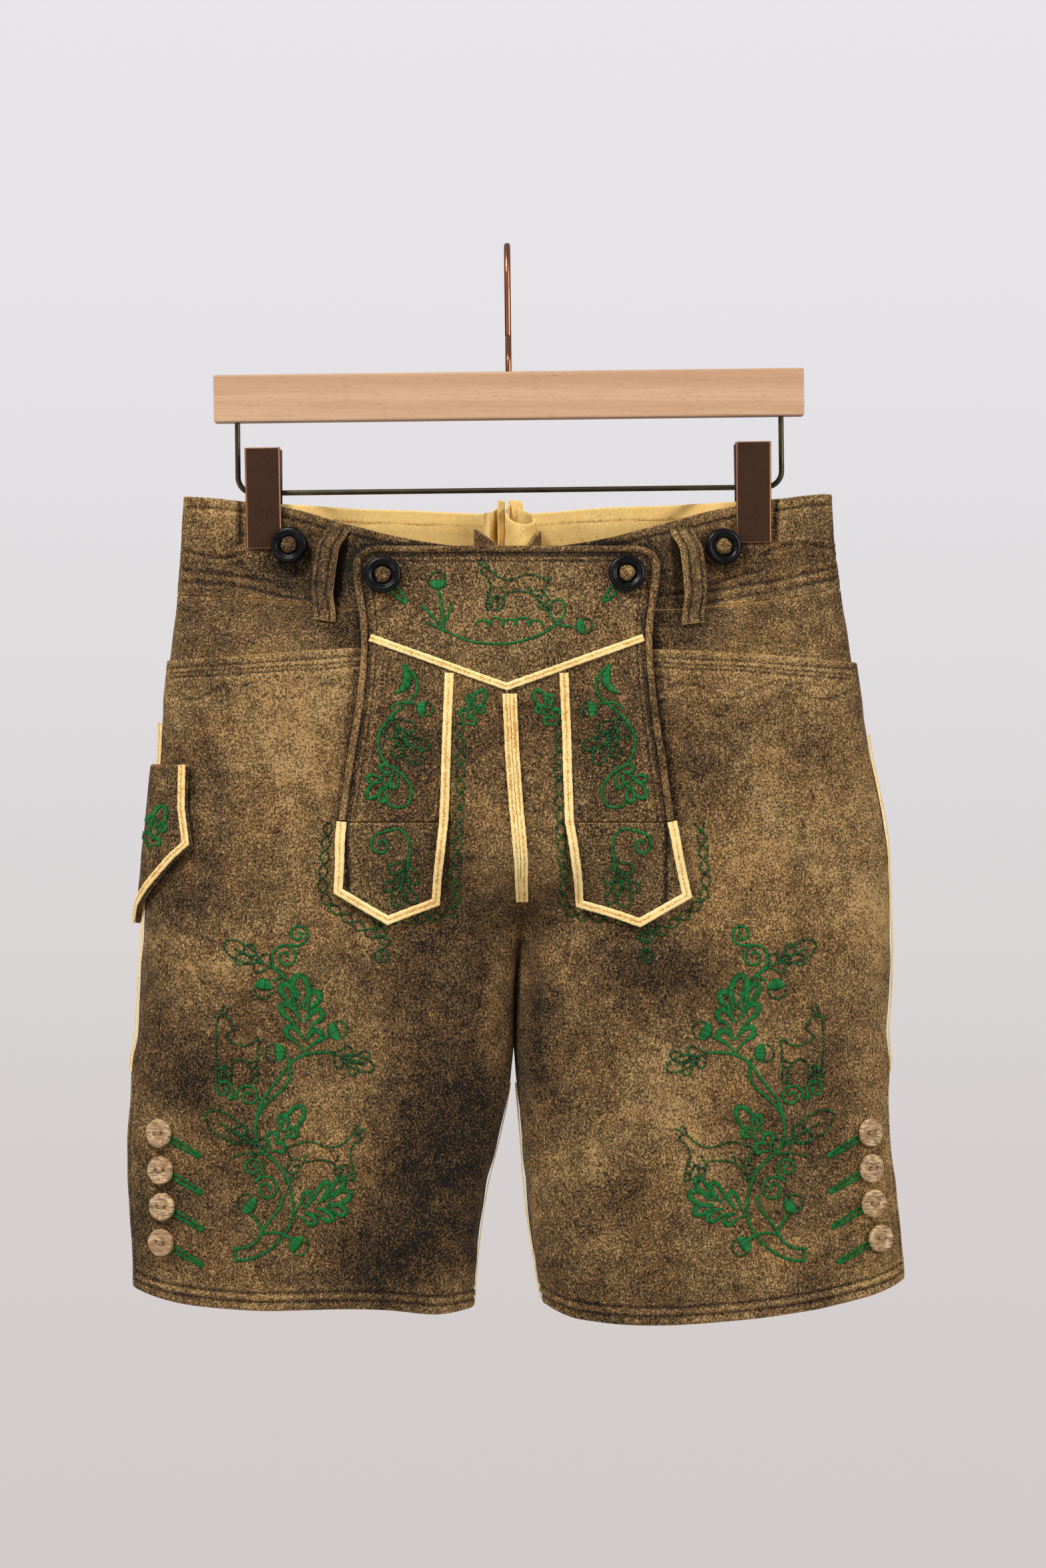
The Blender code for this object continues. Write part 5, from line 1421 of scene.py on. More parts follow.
def flap_yoke():
    """The top of the drop front, down to its pointed lower edge."""
    half, radius = FLAP_EDGE[0][1] - BINDING - SEAM / 2, FLAP_CORNER - BINDING
    marks = tuple(row - BINDING for row in FLAP_ROWS)
    across = Ruler(110, near=marks, far=marks).at(-half, half) / half
    past = np.clip(np.abs(across) * half - (half - radius), 0, radius)
    low = yoke_edge(across * 91) + SEAM / 2
    high = FLAP_TOP - BINDING - (radius - np.sqrt(radius**2 - past**2))
    z = Ruler(54, far=marks).at(low[:, None], high[:, None]).T
    x = across * (through(FLAP_EDGE, z) - BINDING - SEAM / 2)
    sheet = (0.19, 0.1), "hung", ["ring_button_flap_r", "ring_button_flap_l"], 0.0145
    return panel("flap_yoke", "flap", flap_skin(level(FLAP_RISE)), x, z, sheet)


def flap_strip(side):
    """The dark strip on each side of the drop front, above its shield."""
    columns = Ruler(34, near=tuple(row - BINDING for row in FLAP_ROWS))
    share = columns.at(0.0, 54.0) / 54.0
    high = yoke_edge(91 - 53.5 * share) - SEAM / 2
    z = Ruler(84).at(FLAP_END + SEAM / 2, high[:, None]).T
    x = SIGN[side] * columns.at(through(FLAP_EDGE, z) - BINDING, through(STRIP_IN, z) + SEAM / 2)
    sheet = (0.072, 0.125), "hung", ["flap_yoke"], 0.0068
    return panel(f"flap_strip_{side}", "flap", flap_skin(level(FLAP_RISE)), x, z, sheet)


def shield(side):
    """The pointed end of a strip, sewn onto the leg."""
    outer_top, outer_low, tip, inner_low = (np.array(p) for p in SHIELDS[side])
    inner_top = np.array([SIGN[side] * (STRIP_IN[2][1] + 2.5), outer_top[1]])
    t = np.linspace(0, 1, 57)[None, :, None]
    v = np.linspace(0, 1, 49)[:, None, None]
    low = np.where(t <= 0.5, outer_low + (tip - outer_low) * 2 * t, tip + (inner_low - tip) * (2 * t - 1))
    high = outer_top + (inner_top - outer_top) * t
    x, z = np.moveaxis(low + (high - low) * v, -1, 0)
    skin = flap_skin(lambda x, z: shield_rise(z), ())
    sheet = (0.076, 0.071), "stretched", [f"leg_front_{side}"], 0.0043
    return panel(f"shield_{side}", "flap", skin, x, z, sheet, free=z[-1:] - z, roll=0.6)


def flap_binding():
    """The rolled edge of the drop front, from the foot of one slit round to the other."""
    low, high = FLAP_RISE - LEATHER - 0.2, FLAP_RISE + 1.35
    obj = ribbon(
        "flap_binding", flap_row(BINDING / 2), BINDING - SEAM, low, high, on_front,
        of("buckskin", "flesh_side", "buckskin"), grooves=(), crown=0.9, ragged=0.0, cells=16,
        edge_radius=1.3,
    )
    return ride(obj, "leg_leather", "flap_binding")


# ==== the suede trims

TRIM, TRIM_LIFT, TRIM_WIDTH = 1.3, 0.8, 6.0
CENTRE_TRIM = [(2.0, -303.5), (3.5, -340), (6.5, -380), (9.6, -412), (10.4, -440)]


def trim(name, line, width, base, place, **settings):
    """A raw-edged suede strip whose underside lies at the rise base(line)."""
    obj = ribbon(
        name, line, width, base, lambda line: base(line) + TRIM, place, of("trim_suede"), **settings
    )
    return ride(obj, "trim_suede", name)


def shield_trim(side):
    """The trim down the strip's inner edge and round the shield."""
    outer_top, outer_low, tip, inner_low = SHIELDS[side]
    sign, inset = SIGN[side], TRIM_WIDTH / 2
    start = yoke_edge(37.5) - 4.4
    line = [(sign * through(STRIP_IN, z), z) for z in (start, -330, -365, -388)]
    line += [
        (inner_low[0] + sign * 0.4 * inset, inner_low[1] + 0.8 * inset),
        (tip[0], tip[1] + 1.1 * inset),
        (outer_low[0] - sign * inset, outer_low[1] + 0.6 * inset),
        (outer_top[0] - sign * inset, outer_top[1] + 0.5),
    ]

    def base(line):
        z = line[:, 1]
        rise = np.where(z > FLAP_END, FLAP_RISE, shield_rise(z))
        return rise + TRIM_LIFT + 0.9 * smooth(FLAP_END + 10, FLAP_END - 10, z)

    return trim(f"shield_trim_{side}", line, TRIM_WIDTH, base, on_front)


def yoke_trim():
    line = [(-90.4, yoke_edge(90.4)), (0, yoke_edge(0)), (90.4, yoke_edge(90.4))]
    return trim("yoke_trim", line, 5.0, lambda line: 0 * line[:, 0] + FLAP_RISE + TRIM_LIFT, on_front)


def centre_trim(side):
    """One of the two strips that lie side by side on the centre seam."""
    line = [(x + SIGN[side] * 2.45, z) for x, z in CENTRE_TRIM]

    def base(line):
        z = line[:, 1]
        return np.where(z > FLAP_END, FLAP_RISE, flap_lift(0 * z, z)) + TRIM_LIFT + 0.5

    return trim(f"centre_trim_{side}", line, 4.6, base, on_front)


def side_trim(side):
    """The trim on the side seam, from the pocket down to the vent."""
    form, top = FORM[side], {"r": -322, "l": -330}[side]
    line = [(form.value("seam", z) + 0.2, z) for z in np.linspace(top, VENT + 9, 9)]

    def base(line):
        return leg_rise(0 * line[:, 1], line[:, 1]) + TRIM_LIFT

    return trim(f"side_trim_{side}", line, 4.6, base, form.place)


def inseam_trim(side):
    """A narrow strip down the inside of the leg."""
    form, sign = FORM[side], SIGN[side]
    z = np.linspace(-566, -712, 90)
    inner = form.value("inner", z)
    across = np.linspace(-1, 1, 9)[:, None]
    # On the right leg the seam has turned a little further back, and less of its trim stands out.
    proud = {"r": 0.75, "l": 1.1}[side] - 0.35 * across**4 - 0.2 * np.exp(-((across / 0.25) ** 2))
    near, far = inner - sign * TRIM_LIFT + 0 * across, inner - sign * (TRIM_LIFT + proud)
    y = across * (2.2 + 0.12 * np.sin(z * 1.3) + 0.08 * np.sin(z * 3.1))
    height = np.broadcast_to(z, y.shape)
    name = f"inseam_trim_{side}"
    skins = [np.stack([x, y, height], -1) for x in (far, near)]
    return ride(shell(name, *skins, of("trim_suede")), "trim_suede", name)


def knife_half_width(z):
    heights, widths = np.array(sorted(KNIFE_POCKET), float).T
    return np.interp(z, heights, widths)


def knife_pocket():
    """A long patch that wraps the wearer's right side, open at the top."""
    place = FORM["r"].place
    spans = (-457.5, -415, 34), (-414, -404, 8), (-403, -350, 42)
    heights = np.concatenate([np.linspace(*row) for row in spans])
    share = np.linspace(-1, 1, 61)
    z = np.repeat(heights[:, None], len(share), axis=1)
    skin = Skin(place, level(KNIFE_RISE), uneven=0.8)
    sheet = (0.096, 0.109), "stretched", ["leg_back_r"], 0.0078
    panel("knife_pocket", "flap", skin, knife_half_width(z) * share, z, sheet, free=z[-1:] - z)
    inset = TRIM_WIDTH / 2
    for end, sign in (("front", 1), ("back", -1)):
        line = [(sign * (knife_half_width(h) - inset), h) for h in (-350.5, -380)]
        line += [(sign * (47 - 1.2 * inset), -403.0)]
        line += [(sign * (knife_half_width(h) - 0.4 * inset), h + 0.9 * inset) for h in (-415, -432, -448)]
        line += [(sign * 3.6, -457)]
        base = KNIFE_RISE + TRIM_LIFT + 0.7
        trim(f"knife_trim_{end}", line, TRIM_WIDTH - 1, lambda line: 0 * line[:, 0] + base, place)


# ==== the waist's gusset

GUSSET_THICK, GUSSET_FOOT = 1.8, -224.0
GUSSETS = {
    "gusset_fold": [(-14.5, 24, -176.5), (-15, 17, -177.5), (-13, 11.5, -178), (-10.6, 15, -177),
                    (-8.6, 20, -175), (-4.2, 22.5, -172), (-2.4, 18.6, -169.5), (-6.0, 15.6, -169)],
    "gusset_tube": [(1.2, 21, -171), (-0.2, 14, -175), (0.6, 7, -181), (5.5, 1.6, -185),
                    (12, 1.4, -186.5), (17.6, 6, -185), (18.4, 12.5, -181), (14, 17.6, -177),
                    (7, 18.2, -174)],
    "gusset_scroll": [(10.6, 21.8, -170), (4.6, 20.9, -168.5), (1.6, 24.2, -168), (4.6, 27.6, -168),
                      (9.2, 26.4, -168.5)],
    "gusset_patch": [(-22, 12, -188.5), (-17, 6, -192), (-9, 0.5, -198), (-1, -2.6, -203.5),
                     (7, -3.4, -204.5), (14, -1.4, -201), (19.5, 4, -193.5), (22.5, 9.5, -190.5)],
}


def gusset():
    """Pieces at the centre back that stand on end, curled as seen from above."""
    for name, table in GUSSETS.items():
        line = catmull(table, 9)
        run = run_along(line[:, :2])
        rows = Ruler(26).at(GUSSET_FOOT, line[:, 2][:, None]).T
        drop = rounding(line[:, 2] - rows, 0.9)
        wave = 0.25 * np.sin(rows * 0.21 + run * 0.3) + 0.12 * np.sin(rows * 0.6 - run * 0.5)
        skins = []
        for side in (1, -1):
            away = side * (GUSSET_THICK / 2 - drop * 0.9) + wave * np.minimum(1, (line[:, 2] - rows) / 8)
            points = np.array([offset_line(line[:, :2], a) for a in away])
            skins.append(np.concatenate([points, rows[..., None]], axis=-1))
        shade = 0.5 * np.exp(-(((line[:, 2] - rows) / 2.0) ** 2))
        dark = name == "gusset_patch"
        slots = of("flap_buckskin", "flap_buckskin", "flesh_side") if dark else of("flesh_side")
        obj = shell(name, *skins, slots, shade=shade)
        ride(obj, "dark_leather" if dark else "trim_suede", name)


# ==== buttons

RING_THICK = 5.0
RING_PROFILE = [(5.9, 0.9), (5.9, 3.0), (6.5, 3.5), (7.6, 3.9), (8.3, 4.25), (8.7, 4.7), (9.6, 4.97),
                (10.6, 4.9), (11.6, 4.4), (12.2, 3.5), (12.4, 2.5), (12.2, 1.4), (11.5, 0.5),
                (10.2, 0.06), (7.4, 0.0), (6.3, 0.3)]
FLAP_BUTTONS = {"r": (-82.0, -224.5), "l": (79.5, -223.5)}
WAIST_BUTTONS = {"r": (-147.0, -201.5), "l": (146.0, -202.5)}
WAIST_BUTTON_Y, WAIST_BUTTON_YAW = -9.2, 10.0
ANTLER_RADIUS, ANTLER_THICK = 9.4, 3.8
ANTLER_BUTTONS = {
    "r": [(-231.5, -597.0), (-230.5, -621.5), (-229.5, -646.0), (-230.0, -670.0)],
    "l": [(241.5, -597.0), (242.5, -621.0), (244.0, -644.5), (248.5, -668.0)],
}


def placed(line, place):
    """Points in a button's own millimetres, put in the world's."""
    return np.array([np.array(place @ (Vector(p) * MM)) / MM for p in line])


def ring_buttons():
    """A horn ring, and the leather knot that holds it."""
    places = {}
    for side, (x, z) in FLAP_BUTTONS.items():
        places[f"flap_{side}"] = (facing_front(x, z, FLAP_RISE + 0.4), 0.0)
    for side, (x, z) in WAIST_BUTTONS.items():
        turn = math.radians(WAIST_BUTTON_YAW) * SIGN[side]
        out = (math.sin(turn), -math.cos(turn), 0)
        places[f"waist_{side}"] = (facing((x, WAIST_BUTTON_Y, z), out), -2.2)
    for number, (name, (place, foot)) in enumerate(places.items()):
        ring = turned(f"ring_button_{name}", RING_PROFILE, 56, MATERIALS["black_horn"], place)
        ride(ring, "black_horn", f"ring_button_{name}")
        crown = RING_THICK + 1.6
        profile = [(0, foot), (4.9, foot), (5.1, 2.0), (5.2, 3.6), (5.15, 4.6), (4.9, crown - 1.1),
                   (4.2, crown - 0.45), (3.0, crown - 0.05), (1.6, crown + 0.1), (0, crown - 0.1)]

        def lumps(a, n=number):
            return 0.045 * np.sin(3 * a + n) + 0.035 * np.sin(5 * a + 2 * n) + 0.02 * np.sin(11 * a)

        knot = turned(f"button_knot_{name}", profile, 40, MATERIALS["buckskin"], place, lumps, 60)
        ride(knot, "leg_leather", f"button_knot_{name}")


def antler_buttons():
    """Slices of antler with two holes, sewn on with pale thread."""
    half = ANTLER_THICK / 2
    profile = [(0, 0), (ANTLER_RADIUS - 1.0, 0), (ANTLER_RADIUS - 0.2, 0.5), (ANTLER_RADIUS, half),
               (ANTLER_RADIUS - 0.15, half * 1.5), (ANTLER_RADIUS - 0.7, ANTLER_THICK - 0.15),
               (ANTLER_RADIUS - 1.4, ANTLER_THICK), (5.4, ANTLER_THICK - 0.25), (0, ANTLER_THICK - 0.4)]
    threads = []
    for side, rows in ANTLER_BUTTONS.items():
        for number, (x, z) in enumerate(rows, 1):
            past = FORM[side].arc_at(x, z) - FORM[side].value("seam", z)
            place = facing_front(x, z, leg_rise(past, z) + 0.9)
            place = place @ Matrix.Rotation(math.radians(58 + (number * 37) % 41), 4, "Z")

            def lumps(a, n=number):
                return 0.018 * np.sin(2 * a + n) + 0.01 * np.sin(5 * a + 3 * n)

            name = f"antler_button_{side}{number}"
            button = turned(name, profile, 48, MATERIALS["antler"], place, lumps)
            for up in (-2.4, 2.4):
                bore = turned("bore", [(0, -1), (1.25, -1), (1.25, 5), (0, 5)], 16, MATERIALS["antler"],
                              place @ Matrix.Translation((0, up * MM, 0)))
                cut = button.modifiers.new("Hole", "BOOLEAN")
                cut.operation, cut.object, cut.solver = "DIFFERENCE", bore, "EXACT"
            applied(button)
            for bore in [o for o in bpy.data.objects if o.name.startswith("bore")]:
                bpy.data.meshes.remove(bore.data)
            ride(button, "antler", name)
            for shift in (-0.3, 0.3):
                line = [(shift, -2.4, 1.0), (shift, -2.3, 3.3), (shift, -1.6, 3.95), (shift * 1.4, 0, 4.1),
                        (shift, 1.6, 3.95), (shift, 2.3, 3.3), (shift, 2.4, 1.0)]
                threads.append(tube(f"thread_{name}", placed(catmull(line, 4), place), 0.36,
                                    MATERIALS["cream_thread"], sides=7))
    ride(joined("button_thread", threads), "trim_suede")


def joined(name, parts):
    """Several objects as one mesh."""
    bm = bmesh.new()
    for part in parts:
        bm.from_mesh(part.data)
    material = parts[0].data.materials[0]
    for part in parts:
        bpy.data.meshes.remove(part.data)
    return new_object(name, smoothed(from_bmesh(name, bm), 180), material)


# ==== the hanger

TILT = math.radians(0.7)
BAR_TOP, BAR_HEIGHT = -83.5, 32.0
HOOK_WIRE, HOOK_RADIUS, HOOK_TIP = 4.2, 21.0, -61.0
RAIL_WIRE, RAIL_HALF, RAIL_Z, RAIL_CORNER = 3.6, 184.5, -163.5, 11.0
CLIP_WIDTH, CLIP_TOP, CLIP_LOW = 24.0, -133.5, -201.5
CLIP_ON_RAIL = {"r": -167.1, "l": 164.9}  # before the hanger is tilted
CLIP_JAW_Y, CLIP_TOP_Y, CLIP_PLATE = 3.9, 11.5, 1.3
CLIP_FLANGE, CLIP_FLANGE_END = 4.2, -166.0


def tilted(points):
    """The whole hanger hangs a little askew."""
    c, s = math.cos(TILT), math.sin(TILT)
    points = np.asarray(points, float)
    x, y, z = np.moveaxis(points, -1, 0)
    return np.stack([x * c - z * s, y, x * s + z * c], axis=-1)


def arc_points(centre, radius, start, end, count):
    turns = np.radians(np.linspace(start, end, count))
    return [(centre[0] + radius * math.cos(t), centre[1] + radius * math.sin(t)) for t in turns]


def hanger_wires():
    """The hook, up from the bar and over, and the rail under the bar for the clips."""
    radius = HOOK_RADIUS + HOOK_WIRE / 2
    centre = HOOK_WIRE / 2 - radius  # the wire's underside at the crown is the origin
    foot = BAR_TOP + SEAM
    line = [(0, foot), (0, foot + 6), (2.5, foot + 12), (radius - 3, -56), (radius, -48)]
    line += arc_points((0, centre), radius, 0, 180, 25)
    line += [(-radius, -44), (-radius - 0.6, HOOK_TIP + 0.8), (-radius - 0.6, HOOK_TIP)]
    line = catmull([(0, y, z) for y, z in line], 4)
    width = np.full(len(line), HOOK_WIRE / 2)
    width[-3:] *= (0.98, 0.9, 0.7)
    hook = tube("hanger_hook", tilted(line), width, MATERIALS["bright_copper"], sides=24)
    ride(hook, "copper_plate", "hanger_hook")
    top = BAR_TOP - BAR_HEIGHT - SEAM
    inner, low = RAIL_HALF - RAIL_CORNER, RAIL_Z + RAIL_CORNER
    line = [(-RAIL_HALF, top), (-RAIL_HALF, top - 15)]
    line += arc_points((-inner, low), RAIL_CORNER, 180, 270, 14)
    line += arc_points((inner, low), RAIL_CORNER, 270, 360, 14)
    line += [(RAIL_HALF, top - 15), (RAIL_HALF, top)]
    points = densify([(x, 0, z) for x, z in line], 8)
    rail = tube("hanger_rail", tilted(points), RAIL_WIRE / 2, MATERIALS["bronze_wire"], sides=20)
    ride(rail, "dark_wire", "hanger_rail")


def clip_jaw(side, face):
    """A pressed plate with side flanges, wider at the top than where it grips."""
    half, bend = CLIP_WIDTH / 2, 1.0
    z = Ruler(24).at(CLIP_LOW, CLIP_TOP)
    deep = 0.4 + (CLIP_FLANGE - 0.4) * smooth(CLIP_FLANGE_END - 5, CLIP_FLANGE_END, z)
    turns = np.radians(np.linspace(0, 90, 6))

    def path(inset, depth):
        """Half of the U, from the flange's edge round the bend to the middle."""
        r, w = bend + 0.3 - inset * 0.9, half - inset
        flank = [(w, depth * (t - 1)) for t in (0, 0.12, 0.5, 0.9)]
        corner = [(w - r + r * math.cos(t), CLIP_PLATE - inset - r + r * math.sin(t)) for t in turns]
        flat = [(x, CLIP_PLATE - inset) for x in (w - r - 0.8, w * 0.55, w * 0.25)]
        right = flank + corner + flat
        return np.array(right + [(0, CLIP_PLATE - inset)] + [(-x, y) for x, y in reversed(right)])

    slope = (CLIP_TOP_Y - CLIP_JAW_Y) / (CLIP_TOP - CLIP_LOW)
    skins = []
    for inset in (0.0, 1.15):
        rows = []
        for height, depth in zip(z, deep):
            shape = path(inset, depth)
            back = rounding(min(height - CLIP_LOW, CLIP_TOP - height), 0.5) * (1 if inset == 0 else -0.3)
            y = face * (shape[:, 1] - back + CLIP_JAW_Y + slope * (height - CLIP_LOW))
            rows.append(np.stack([CLIP_ON_RAIL[side] + shape[:, 0], y, 0 * y + height], axis=1))
        skins.append(tilted(np.array(rows)))
    columns = skins[0].shape[1]
    k = np.arange(columns)
    bends = np.exp(-(((np.minimum(k, columns - 1 - k) - 7) / 2.0) ** 2))
    ends = np.exp(-((np.minimum(z - CLIP_LOW, CLIP_TOP - z) / 0.8) ** 2))
    shade = np.maximum(bends[None, :], ends[:, None])
    name = f"clip_{'front' if face < 0 else 'back'}_{side}"
    return ride(shell(name, *skins, of("copper_plate"), shade=shade), "copper_plate", name)


def clip_spring(side):
    """The coil on the rail between a clip's two jaws."""
    turns, length, radius = 7, 12.0, 4.4
    t = np.linspace(0, turns * 2 * math.pi, turns * 18)
    x = CLIP_ON_RAIL[side] + (t / t[-1] - 0.5) * length
    points = np.stack([x, radius * np.cos(t), RAIL_Z + radius * np.sin(t)], axis=1)
    coil = tube(f"clip_spring_{side}", tilted(points), 0.78, MATERIALS["bronze_wire"], sides=10)
    return ride(coil, "dark_wire", f"clip_spring_{side}")


# ==== embroidery


def compass(angle):
    """Steps of 1 along an angle in degrees, and a quarter turn past it."""
    c, s = math.cos(math.radians(angle)), math.sin(math.radians(angle))
    return np.array([c, s]), np.array([-s, c])


class Cloth:
    """Draws in stitches on one skin, in the plane seen from the front."""

    def __init__(self, skin, needles, side=None, mirror=None):
        self.skin, self.side, self.mirror = skin, side, mirror
        self.satin_needle, self.running_needle = needles

    def flat(self, points):
        points = np.array(points, float).reshape(-1, 2)
        if self.mirror is not None:
            points[:, 0] = self.mirror - points[:, 0]
        return points if self.side is None else arcs_along(self.side, points)

    def sew(self, starts, ends, width=0.85, height=1.3, above=0.25):
        self.satin_needle.sew(self.skin, self.flat(starts), self.flat(ends), width, height, above)

    def satin(self, points, width, pitch=0.6, slant=0.4):
        """Short slanting stitches side by side along a line of points, each as wide as it says."""
        table = even(np.column_stack([points, np.broadcast_to(width, len(points))]), pitch)
        points, half = table[:, :2], table[:, 2:] / 2
        along = np.gradient(points, axis=0)
        along /= np.linalg.norm(along, axis=1, keepdims=True) + 1e-9
        across = np.stack([-along[:, 1], along[:, 0]], axis=1)
        reach = across * half + along * slant * half
        self.sew(points - reach, points + reach)

    def rope(self, line, width=2.3):
        self.satin(catmull(line, 8), width)

    def dots(self, line, pitch=2.6, width=1.95):
        """Running stitches along a line."""
        points = even(line, pitch)
        step = points[1:] - points[:-1]
        starts, ends = self.flat(points[:-1] + step * 0.02), self.flat(points[1:] - step * 0.02)
        self.running_needle.sew(self.skin, starts, ends, width, 1.3, 0.35)

    # Round a lobe: how far out along it, how far to one side, and how far out it counts.
    LOBE = [(0.42, 0.62, 0.35), (0.86, 0.95, 0.8), (1.12, 0.62, 1.0), (1.2, 0.0, 1.0),
            (1.08, -0.66, 1.0), (0.76, -0.9, 0.7), (0.26, -0.5, 0.15)]

    def leaf_line(self, base, tip, width, pairs, lobe):
        """Up one side of an oak leaf and down the other, round each lobe as a hairpin.

        Gives the points, and how far out on a lobe each one is.
        """
        base, tip = np.array(base, float), np.array(tip, float)
        length = np.linalg.norm(tip - base)
        up = (tip - base) / length
        out = np.array([-up[1], up[0]])
        step = length * 0.62 / pairs
        sides = []
        for side in (-1, 1):
            points, reach = [base], [0.1]
            for k in range(pairs):
                foot = base + up * (length * 0.1 + step * k)
                far = (0.86, 1.0, 0.92, 0.8)[k] if pairs > 2 else (0.9, 1.0)[k]
                turn = math.radians(42 + 6 * side + 6 * k)
                toward = out * side * math.cos(turn) + up * math.sin(turn)
                across = out * side * math.sin(turn) - up * math.cos(turn)
                run = (width / 2 - lobe * 0.55) * far / math.cos(turn)
                for a, b, r in self.LOBE:
                    points.append(foot + toward * run * a + across * lobe * 0.34 * b)
                    reach.append(r)
            top = tip - up * lobe
            points += [top - up * lobe * 0.9 + out * side * lobe * 0.3, top + out * side * lobe * 0.46,
                       tip - up * lobe * 0.35 + out * side * lobe * 0.36]
            reach += [0.2, 0.8, 1.0]
            sides.append((points, reach))
        points = sides[0][0] + [tip] + sides[1][0][::-1]
        reach = sides[0][1] + [1.0] + sides[1][1][::-1]
        return catmull(points, 4), catmull(np.array(reach)[:, None], 4)[:, 0]

    def filled_leaf(self, base, tip, width, pairs=3):
        """An oak leaf whose lobes are hairpins of satin, with a bare slit in each."""
        lobe = np.linalg.norm(np.subtract(tip, base)) / (pairs + 1.4)
        points, reach = self.leaf_line(base, tip, width, pairs, lobe)
        self.satin(points, 0.8 + (0.34 if pairs > 2 else 0.25) * lobe * np.clip(reach, 0, 1), 0.6, 0.6)

    def dotted_leaf(self, base, tip, width, pairs=2):
        """An oak leaf in running stitches: its outline, its vein, and a short vein to each lobe."""
        base, tip = np.array(base, float), np.array(tip, float)
        lobe = np.linalg.norm(tip - base) / (pairs + 0.9)
        points, _ = self.leaf_line(base, tip, width, pairs, lobe)
        self.dots(points)
        across = np.array([base[1] - tip[1], tip[0] - base[0]]) * width / np.sum((tip - base) ** 2) ** 0.5
        across = across / np.linalg.norm(tip - base)
        self.dots([base, base + (tip - base) * 0.78])
        for k in range(pairs):
            foot = base + (tip - base) * (0.18 + 0.5 * k / pairs)
            for side in (-1, 1):
                self.dots([foot, foot + (tip - base) * 0.17 + across * 0.27 * side])

    def finger(self, base, tip, width):
        """A crescent of satin, widest in its middle."""
        base, tip = np.array(base, float), np.array(tip, float)
        t = np.linspace(0, 1, 12)[:, None]
        side = np.array([tip[1] - base[1], base[0] - tip[0]]) * 0.3
        line = base + (tip - base) * t + side * 4 * t * (1 - t)
        self.satin(line, 0.6 + width * np.sin(math.pi * t[:, 0]))

    def spiral(self, centre, radius, start, turns=1.5, hand=1, tail=None):
        """A curl that winds inwards, with a stem that runs on from its outer end."""
        t = np.linspace(0, 1, 26)
        turn = math.radians(start) + hand * turns * 2 * math.pi * t
        r = radius * (1 - 0.78 * t)
        line = np.stack([centre[0] + r * np.cos(turn), centre[1] + r * np.sin(turn)], axis=1)
        if tail is not None:
            line = np.vstack([np.array(tail, float).reshape(-1, 2), line])
        self.rope(line, 2.1)

    def acorn(self, centre, radius, angle):
        """A satin cup, which faces away from angle, and the outline of a nut."""
        along, across = compass(angle)
        s = np.linspace(-0.96, 0.96, max(6, round(2 * radius / 0.58)))[:, None]
        rim = centre + across * s * radius + along * (0.2 - 0.3 * s**2) * radius
        foot = centre + across * s * radius * 0.92 - along * radius * np.sqrt(1 - s**2) * 1.0
        self.sew(rim + along * 0.5, foot - along * 0.6, 1.1, 1.5)
        t = np.radians(np.linspace(-88, 88, 16))[:, None]
        self.dots(centre + along * (0.1 + np.cos(t)) * radius + across * np.sin(t) * radius * 0.95)

    def chain(self, line, reach=3.2, period=19.0):
        """Two rows of running stitches that wind round each other."""
        points = even(line, 0.7)
        run = run_along(points)
        for start in (0, math.pi):
            self.dots(offset_line(points, reach * np.sin(run / period * 2 * math.pi + start)), 2.5, 1.6)

    def buttonhole(self, centre, angle, length=22.0, gap=3.0):
        """Two rows of satin with a slit between them, which meet in a bar."""
        along, across = compass(angle)
        a, b = centre - along * length / 2, centre + along * length / 2
        t = np.linspace(0, 1, round(length / 0.62))[:, None]
        for side in (-1, 1):
            middle = a + (b - a) * t + across * side * (gap * (0.5 - 0.22 * t**3))
            reach = across * 1.15 + along * 0.35 * side
            self.sew(middle - reach, middle + reach)
        t = np.linspace(-0.5, 1.8, 5)[:, None]
        self.sew(b + along * t + across * 2.1, b + along * t - across * 2.1)


# Goats as outlines, in their own units: each list is one line of running stitches.
STANDING_GOAT = [
    [(0, 0), (0.6, 8), (0.8, 16), (0.2, 24), (0.6, 33), (0.8, 41), (3, 45), (6.4, 46), (9.4, 43),
     (13.4, 37.6), (11.4, 35), (7.8, 33.4), (7.2, 31), (10, 28), (14.6, 25.8), (20, 24.8), (24.6, 26.6),
     (28.4, 30), (30, 27.4), (28.8, 23), (29.4, 17), (28, 11.6), (29, 6), (28.4, 0.4), (25.2, 0.6),
     (24.6, 7), (22.4, 12.4), (18.2, 15.6), (13.2, 15.4), (10.8, 12), (10.6, 6), (9.8, 0.4), (6.8, 0.8),
     (6.6, 8), (5.2, 13), (4, 7), (3.4, 0), (0, 0)],
    [(4.2, 45.8), (4, 49.6), (6.2, 53)], [(7, 45.6), (7.6, 49), (10.4, 51.8)], [(2, 43.6), (-1.4, 46)],
    [(0.8, 4), (3.6, 5)], [(0.8, 9), (4.6, 10)], [(7, 4.6), (10.4, 5.8)], [(6.4, 10), (10.8, 11)],
    [(25, 4.6), (28.6, 5.8)], [(24, 9.6), (28, 11)], [(22.6, 13.6), (28.6, 15.4)],
]
